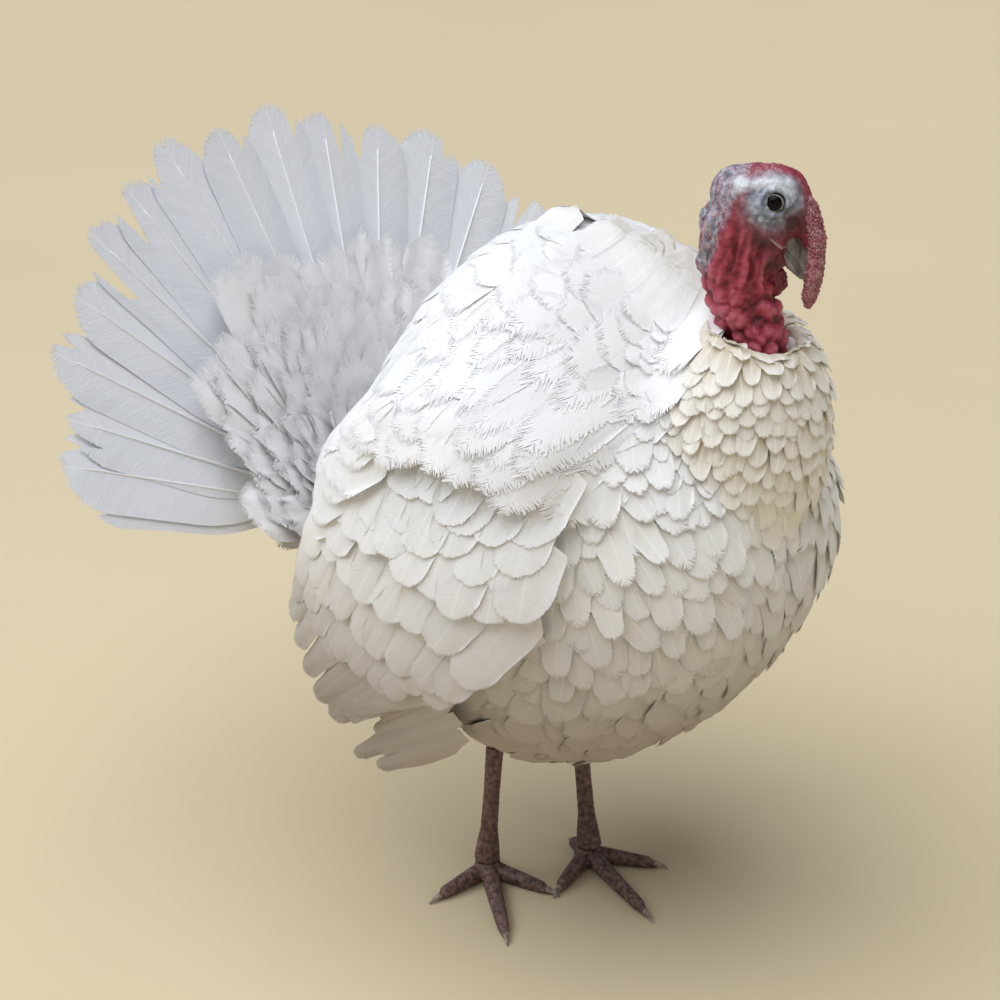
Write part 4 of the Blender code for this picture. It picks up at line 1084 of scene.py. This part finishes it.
# ---------------------------------------------------------------- head
HEAD_WAY = unit((centre_of("beak") - NECK) * np.array([1, 1, 0]))
HEAD_RIGHT = np.array([HEAD_WAY[1], -HEAD_WAY[0], 0.0])
EYES = {side: centre_of(f"eye_{side}") for side in SIDES}
EYE_R = (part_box("eye_right")[1].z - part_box("eye_right")[0].z) / 2


def from_head(ahead, right, z):
    """A place given by its distances forward and right of the neck's axis, and its height."""
    return np.array([NECK[0], NECK[1], z]) + ahead * HEAD_WAY + right * HEAD_RIGHT


FACE_LUMPS = [  # fill out the lores, cheeks, jaw, crown and snood: ahead, right, height, radius
    (0.010, 0.007, 0.740, 0.0185),
    (0.010, -0.007, 0.740, 0.0185),
    (0.023, 0.004, 0.752, 0.0155),
    (0.023, -0.004, 0.752, 0.0155),
    (0.029, 0.0, 0.746, 0.0112),
    (0.037, 0.0, 0.757, 0.0110),
    (0.041, 0.001, 0.747, 0.0088),
    (0.043, 0.002, 0.738, 0.0070),
    (0.044, 0.002, 0.730, 0.0056),
    (0.004, 0.0, 0.722, 0.0200),
    (0.031, 0.0, 0.766, 0.0125),
    (0.038, 0.002, 0.760, 0.0095),
    (-0.004, 0.0, 0.766, 0.0300),
    (0.002, 0.0, 0.7725, 0.0235),
    (0.020, 0.0, 0.7740, 0.0205),
    (-0.018, 0.0, 0.7700, 0.0240),
]


GAPE = ((0.0121, 0.7390), (0.0431, 0.7115))  # the mouth's line, from the cheek to the bill: ahead, height


def in_head(points):
    """Distances forward and right of the neck's axis, and height."""
    local = points - np.array([NECK[0], NECK[1], 0.0])
    return local @ HEAD_WAY, local @ HEAD_RIGHT, points[:, 2]


def cells(points, size, seed=0.0):
    """Distance to the nearest of a field of scattered centres, in units of their spacing, and how open
    a gap is."""
    near, second = [], []
    for p in points.tolist():
        gaps = noise.voronoi(Vector(p) / size + Vector((seed, seed, seed)))[0]
        near.append(gaps[0])
        second.append(gaps[1])
    near, second = np.array(near), np.array(second)
    return near, second - near


def dome(near, edge):
    """A round bead on each of those centres, 1 at the top and 0 from the edge out."""
    return np.sqrt(np.clip(1 - (near / edge) ** 2, 0, 1))


def waves(points, size, stretch=(1, 1, 1)):
    scale = np.array(stretch) / size
    return np.array([noise.noise(Vector(p)) for p in (points * scale).tolist()])


def paint_zones(mesh, zones, relief, granular):
    """Stores what the skin's material reads: how blue, dark and white it is, its height, and where it
    is grainy."""
    colours = np.stack([*zones, np.ones(len(mesh.vertices))], -1)
    made = mesh.attributes.new("zones", "FLOAT_COLOR", "POINT")
    made.data.foreach_set("color", colours.astype(np.float32).ravel())
    float_attribute(mesh, "relief", relief)
    float_attribute(mesh, "granular", granular)
    mesh.update()


def build_head():
    lumps = [(from_head(ahead, right, z), radius) for ahead, right, z, radius in FACE_LUMPS]
    mesh = remeshed("head", ["head_skin"], voxel=0.0013, rounds=60, blobs=lumps)
    points, normals = mesh_arrays(mesh)
    points = points + normals * 0.0008
    ahead, right, z = in_head(points)
    eye_a, _, eye_z = in_head(EYES["right"][None])
    from_eye = np.hypot(ahead - eye_a[0], z - eye_z[0])
    on_side = smooth_step(0.006, 0.014, np.abs(right))
    neck = 1 - smooth_step(0.728, 0.752, z + 0.35 * ahead)
    around = np.arctan2(right, ahead + 0.012)
    crown = smooth_step(0.784, 0.790, z) * (1 - smooth_step(0.012, 0.022, ahead))
    nape = smooth_step(0.024, 0.034, -ahead + 0.35 * (z - 0.74)) * smooth_step(0.690, 0.715, z)
    lump, _ = cells(points, 0.0135)
    bead, _ = cells(points, 0.0056, 3.0)
    grain, _ = cells(points, 0.0022, 7.0)
    folds = np.cos(9 * around + 55 * (z - 0.72) * np.sign(right) + 2.8 * waves(points, 0.020))
    creases = np.cos(19 * around + 110 * (z - 0.72) * np.sign(right) + 3.5 * waves(points, 0.014))
    low = 1 - smooth_step(0.672, 0.712, z)
    raised = neck * (
        low * (0.0060 * dome(lump, 0.66) ** 1.5 - 0.0024 + 0.0014 * waves(points, 0.005))
        + (1 - low) * (0.0017 * folds + 0.0011 * creases)
        + 0.0012 * dome(bead, 0.62)
    )
    grains = np.maximum(crown, nape)
    raised = raised + grains * 0.0009 * (1 - smooth_step(0.0, 0.6, grain))
    rings = np.cos(from_eye / 0.0021 * math.pi) * bump(from_eye, 0.0145, 0.0045) * on_side
    raised = raised + 0.00035 * rings + 0.0016 * bump(from_eye, 0.0108, 0.0016) * on_side
    raised = raised - 0.0010 * bump(from_eye, 0.0170, 0.0035) * on_side * (1 - neck)
    brow = bump(ahead, 0.008, 0.016) * bump(z, 0.7850, 0.0035) * on_side
    raised = raised + 0.0016 * brow
    ear = bump(ahead, -0.0140, 0.0052) * bump(z, 0.7830, 0.0050) * on_side
    raised = raised + ear * (0.0022 + 0.0008 * waves(points, 0.0016))
    wrinkled = (1 - neck) * (1 - grains)
    raised = raised + wrinkled * (
        0.0007 * waves(points, 0.0032, (1, 1, 1.8)) + 0.0004 * waves(points, 0.0016)
    )
    run = np.clip((ahead - GAPE[0][0]) / (GAPE[1][0] - GAPE[0][0]), 0, 1)
    under = mix(GAPE[0][1], GAPE[1][1], run) - z
    at_gape = smooth_step(0.0115, 0.015, ahead) * smooth_step(0.004, 0.009, np.abs(right)) * (z < 0.75)
    lip = bump(under, -0.0008, 0.0013) * at_gape
    raised = raised + 0.0010 * lip - 0.0016 * bump(under, 0.0016, 0.0011) * at_gape
    points = points + normals * raised[:, None]
    move_points(mesh, points)
    # Painted shade: the skin material darkens the crimson where this relief is low, in folds and creases.
    relief = np.clip(0.42 + raised / 0.007, 0, 1)
    blotch = waves(points, 0.010)
    blue = np.clip(
        bump(from_eye, 0.010, 0.014) * on_side * (1 - neck) * 1.35 + nape * (
            0.75 + 0.9 * waves(points, 0.0035, (1, 1, 0.35))
        ) + brow * 0.6,
        0, 1,
    )
    lores = 1.15 * bump(ahead, 0.032, 0.011) * bump(z, 0.752, 0.013)
    cheek = lores + 0.95 * bump(ahead, 0.008, 0.014) * bump(z, 0.736, 0.009)
    cheek = cheek + 0.8 * bump(ahead, 0.016, 0.010) * bump(z, 0.714, 0.014)
    dark = np.clip(cheek * (0.95 + 0.5 * blotch), 0, 1) * (1 - crown)
    pale = np.clip(brow * 1.3 + ear * 1.7 + 0.5 * bump(ahead, 0.024, 0.008) * bump(z, 0.779, 0.006), 0, 1)
    pale = np.maximum(pale, 0.42 * lip)
    dark = dark * (1 - pale)
    paint_zones(mesh, (blue, dark, pale), relief, np.clip(grains, 0, 1))
    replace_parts(show("head_and_neck", mesh, "head", SKIN), "head_skin")


def build_skin_lobe(name, node, grain_size, height, dark, granular, slim=0.0):
    """A fleshy lobe from its frame node, covered in grains. Its back is drawn in towards its front to
    slim it."""
    mesh = remeshed(name, [node], voxel=0.0009, rounds=6)
    points, normals = mesh_arrays(mesh)
    ahead, right, z = in_head(points)
    levels = np.arange(z.min(), z.max() + 0.004, 0.004)
    front = [ahead[np.abs(z - level) < 0.004].max() for level in levels]
    gap = np.interp(z, levels, front) - ahead
    hang = 1 - smooth_step(0.755, 0.775, z)
    points = points + ((gap * slim * hang)[:, None] * HEAD_WAY) - (right * slim * 0.6 * hang)[
        :, None
    ] * HEAD_RIGHT
    near, _ = cells(points, grain_size, 11.0)
    raised = height * (1 - smooth_step(0.0, 0.6, near)) + 0.0006 * waves(points, 0.006)
    points = points + normals * raised[:, None]
    move_points(mesh, points)
    ones = np.ones(len(points))
    blotch = np.clip(0.5 + waves(points, 0.006), 0, 1)
    # Painted shade: this relief makes the lobe's crimson darker between the grains and lighter on them.
    relief = np.clip(0.35 + raised / height * 0.4, 0, 1)
    paint_zones(mesh, (ones * 0.0, ones * dark, granular * 0.12 * blotch), relief, ones * granular)
    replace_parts(show(name, mesh, "head", SKIN), node)


def build_beak():
    mesh = remeshed("horn_beak", ["beak"], voxel=0.0007, rounds=3)
    points, normals = mesh_arrays(mesh)
    grooves = waves(points, 0.0035, (1, 1, 0.4))
    move_points(mesh, points + normals * (0.00018 * grooves)[:, None])
    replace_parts(show("horn_beak", mesh, "head", BEAK_HORN), "beak")


LID_RADIUS, LID_RISE = 0.0074, 0.0052  # of the eyelid's ring, and how far it lies out from the eye's middle


def build_eye(side):
    """A glass eye with a clear bulge, and a wrinkled lid ring round it."""
    turn = Vector(HEAD_RIGHT * -SIDES[side]).to_track_quat("Z", "Y").to_matrix().to_4x4()
    work = bmesh.new()
    bmesh.ops.create_uvsphere(work, u_segments=48, v_segments=32, radius=EYE_R)
    for vertex in work.verts:
        if vertex.co.z > EYE_R * 0.6:
            vertex.co.z += 0.0006 * (1 - (vertex.co.xy.length / (EYE_R * 0.8)) ** 2)
    mesh = bpy.data.meshes.new(f"glass_eye_{side}")
    work.to_mesh(mesh)
    work.free()
    mesh.transform(turn)
    mesh.transform(Matrix.Translation(Vector(EYES[side])))
    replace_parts(show(f"glass_eye_{side}", smoothed(mesh), "head", EYE_GLASS), f"eye_{side}")
    rows, around = 12, 72
    points = []
    for i in range(around):
        a = 2 * math.pi * i / around
        for k in range(rows):
            b = 2 * math.pi * k / rows
            thick = 0.0008 + 0.00014 * math.sin(7 * a) + 0.0003 * math.cos(a)
            wide = LID_RADIUS + thick * math.cos(b)
            points.append((wide * math.cos(a), wide * math.sin(a) * 0.92, LID_RISE + thick * math.sin(b)))
    quads = []
    for i in range(around):
        for k in range(rows):
            j, m = (i + 1) % around, (k + 1) % rows
            quads.append((i * rows + k, j * rows + k, j * rows + m, i * rows + m))
    lid = array_mesh(f"eyelid_{side}", points, quads)
    lid.transform(turn)
    lid.transform(Matrix.Translation(Vector(EYES[side])))
    show(f"eyelid_{side}", lid, "head", LID_SKIN)


build_head()
build_skin_lobe("snood_lobe", "snood", 0.0027, 0.0013, 0.22, 0.9, 0.10)
build_skin_lobe("wattle_lobe", "wattle", 0.0040, 0.0012, 0.55, 0.0)
build_beak()
for eye_side in SIDES:
    build_eye(eye_side)


# ---------------------------------------------------------------- legs and feet
def build_leg(side):
    """Scaled skin on the shank and toes: scutes down the front and along each toe, small round scales
    elsewhere."""
    for part, limb, voxel in (("shank", "leg", 0.0011), ("toes", "foot", 0.0010)):
        node = f"{limb}_{side}"
        mesh = remeshed(f"{part}_{side}", [node], voxel, rounds=4)
        points, normals = mesh_arrays(mesh)
        near, edge = cells(points, 0.0038, 5.0)
        plates = 0.0007 * smooth_step(0.02, 0.20, edge) * (0.6 + 0.4 * (1 - near))
        if limb == "foot":
            base = centre_of(f"leg_{side}") * np.array([1, 1, 0])
            out = np.hypot(points[:, 0] - base[0], points[:, 1] - base[1])
            scutes = np.abs(np.sin(out / 0.0042 * math.pi)) ** 0.5
            top = smooth_step(0.25, 0.7, normals[:, 2])
            raised = mix(plates, 0.0009 * scutes, top * smooth_step(0.018, 0.028, out))
            raised = raised * smooth_step(0.0008, 0.003, points[:, 2])
        else:
            front = smooth_step(0.1, 0.7, normals @ np.array([0.80, SIDES[side] * -0.3, 0.0]))
            scutes = np.abs(np.sin(points[:, 2] / 0.0068 * math.pi)) ** 0.45
            raised = mix(plates, 0.0010 * scutes, front)
        move_points(mesh, points + normals * raised[:, None])
        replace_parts(show(f"{part}_{side}", mesh, "frame", SHANK_RUBBER), node)


TOES = 4
CLAW_LENGTH, CLAW_ROOT = 0.015, 0.004  # the root is how far a claw starts back inside its toe


def build_claws(side):
    """A claw at the end of each toe, arching forward and down to the ground."""
    points = node_points(f"foot_{side}")
    gap = points[:, :2] - centre_of(f"leg_{side}")[:2]
    out, angle = np.hypot(*gap.T), np.arctan2(gap[:, 1], gap[:, 0])
    free = np.ones(len(points), bool)
    for toe in range(TOES):
        end = np.argmax(np.where(free, out, 0))
        near = np.abs(np.angle(np.exp(1j * (angle - angle[end])))) < math.radians(22)
        tip = points[near & (out > out[end] - 0.005)].mean(0)
        free &= ~near
        way = np.array([math.cos(angle[end]), math.sin(angle[end]), 0.0])
        run = np.linspace(0, 1, 10)
        centres = tip + way * (CLAW_LENGTH * run - CLAW_ROOT)[:, None]
        centres[:, 2] = mix(max(tip[2], 0.0045) + 0.0008, 0.0010, run**1.8)
        claw = tube(f"claw_{toe + 1}_{side}", centres, mix(0.0034, 0.0005, run**1.4), [0, 0, 1.0], 12)
        show(f"claw_{toe + 1}_{side}", claw, "frame", CLAW_HORN)


for leg_side in SIDES:
    build_leg(leg_side)
    build_claws(leg_side)


# ---------------------------------------------------------------- frame metal and shells
INNER_FINISHES = [
    (MOULDED_SHELL, ["body_shell_right", "body_shell_left", "wing_plate_right", "wing_plate_left"]),
    (BRUSHED_ALLOY, ["spine_tube", "leg_bracket", "tail_bracket", "fan_base"]),
    (ZINC_STEEL, ["neck_post", "leg_rod_right", "leg_rod_left", "tail_pin", "fan_pin", "fan_wing_nut"]),
    (ZINC_STEEL, ["wing_bolt_right", "wing_bolt_left"]),
]
for inner_finish, inner_nodes in INNER_FINISHES:
    for inner_node in inner_nodes:
        NODES[inner_node].data.materials.clear()
        NODES[inner_node].data.materials.append(inner_finish)


# ---------------------------------------------------------------- floor, light and camera
FLOOR_HALF = 30.0


def build_stage():
    corners = [(-FLOOR_HALF, -FLOOR_HALF, 0), (FLOOR_HALF, -FLOOR_HALF, 0)]
    corners += [(FLOOR_HALF, FLOOR_HALF, 0), (-FLOOR_HALF, FLOOR_HALF, 0)]
    floor = array_mesh("studio_floor", corners, [(0, 1, 2, 3)])
    obj = bpy.data.objects.new("studio_floor", floor)
    place_in_scene(obj)
    matt = {"Specular IOR Level": 0.1}
    floor.materials.append(
        mottled("pale_studio_paper", "#d3c3a2", "#d6c6a5", 900.0, (0.85, 0.95), 0.01, matt)
    )


def aimed(obj, place, way, axis):
    """Puts a lamp or the camera at a place, with one of its own axes along a direction."""
    obj.location = place
    obj.rotation_mode = "QUATERNION"
    obj.rotation_quaternion = Vector(way).to_track_quat(axis, "Y")
    place_in_scene(obj)
    return obj


def softbox(name, place, aim, size, power, colour):
    lamp = bpy.data.lights.new(name, "AREA")
    lamp.shape, lamp.size, lamp.energy = "DISK", size, power
    lamp.color = linear(colour)[:3]
    aimed(bpy.data.objects.new(name, lamp), place, Vector(place) - Vector(aim), "Z")


CAMERA_PLACE = Vector((1.2832, -1.5321, 1.2497))
CAMERA_TURN = 40.0  # degrees from looking along +Y
CAMERA_DROP = 22.707  # degrees below the horizon
CAMERA_LENS, CAMERA_SENSOR = 79.2, 36.0  # mm


def build_camera():
    camera = bpy.data.cameras.new("studio_camera")
    camera.lens, camera.sensor_width = CAMERA_LENS, CAMERA_SENSOR
    turn, drop = math.radians(CAMERA_TURN), math.radians(CAMERA_DROP)
    way = Vector((-math.sin(turn) * math.cos(drop), math.cos(turn) * math.cos(drop), -math.sin(drop)))
    bpy.context.scene.camera = aimed(bpy.data.objects.new("studio_camera", camera), CAMERA_PLACE, way, "-Z")


BIRD_MIDDLE = (0.05, 0.0, 0.45)


def light_studio():
    sky = bpy.data.lights.new("overhead_scrim", "SUN")
    sky.energy, sky.angle, sky.color = 2.8, math.radians(70), linear("#f6f9ff")[:3]
    aimed(bpy.data.objects.new("overhead_scrim", sky), (0.0, 0.0, 0.0), (-0.10, -0.30, 1.0), "Z")
    softbox("left_softbox", (-1.6, -1.8, 2.0), BIRD_MIDDLE, 1.6, 13.0, "#eef4ff")
    softbox("fill_softbox", (2.4, -1.2, 1.3), BIRD_MIDDLE, 1.8, 3.5, "#fff4e8")
    world = bpy.data.worlds.new("studio_world")
    world.use_nodes = True
    world.node_tree.nodes["Background"].inputs[0].default_value = linear("#e2e6ec")
    world.node_tree.nodes["Background"].inputs[1].default_value = 0.30
    bpy.context.scene.world = world
    bpy.context.scene.view_settings.view_transform = "Standard"


build_stage()
build_camera()
light_studio()
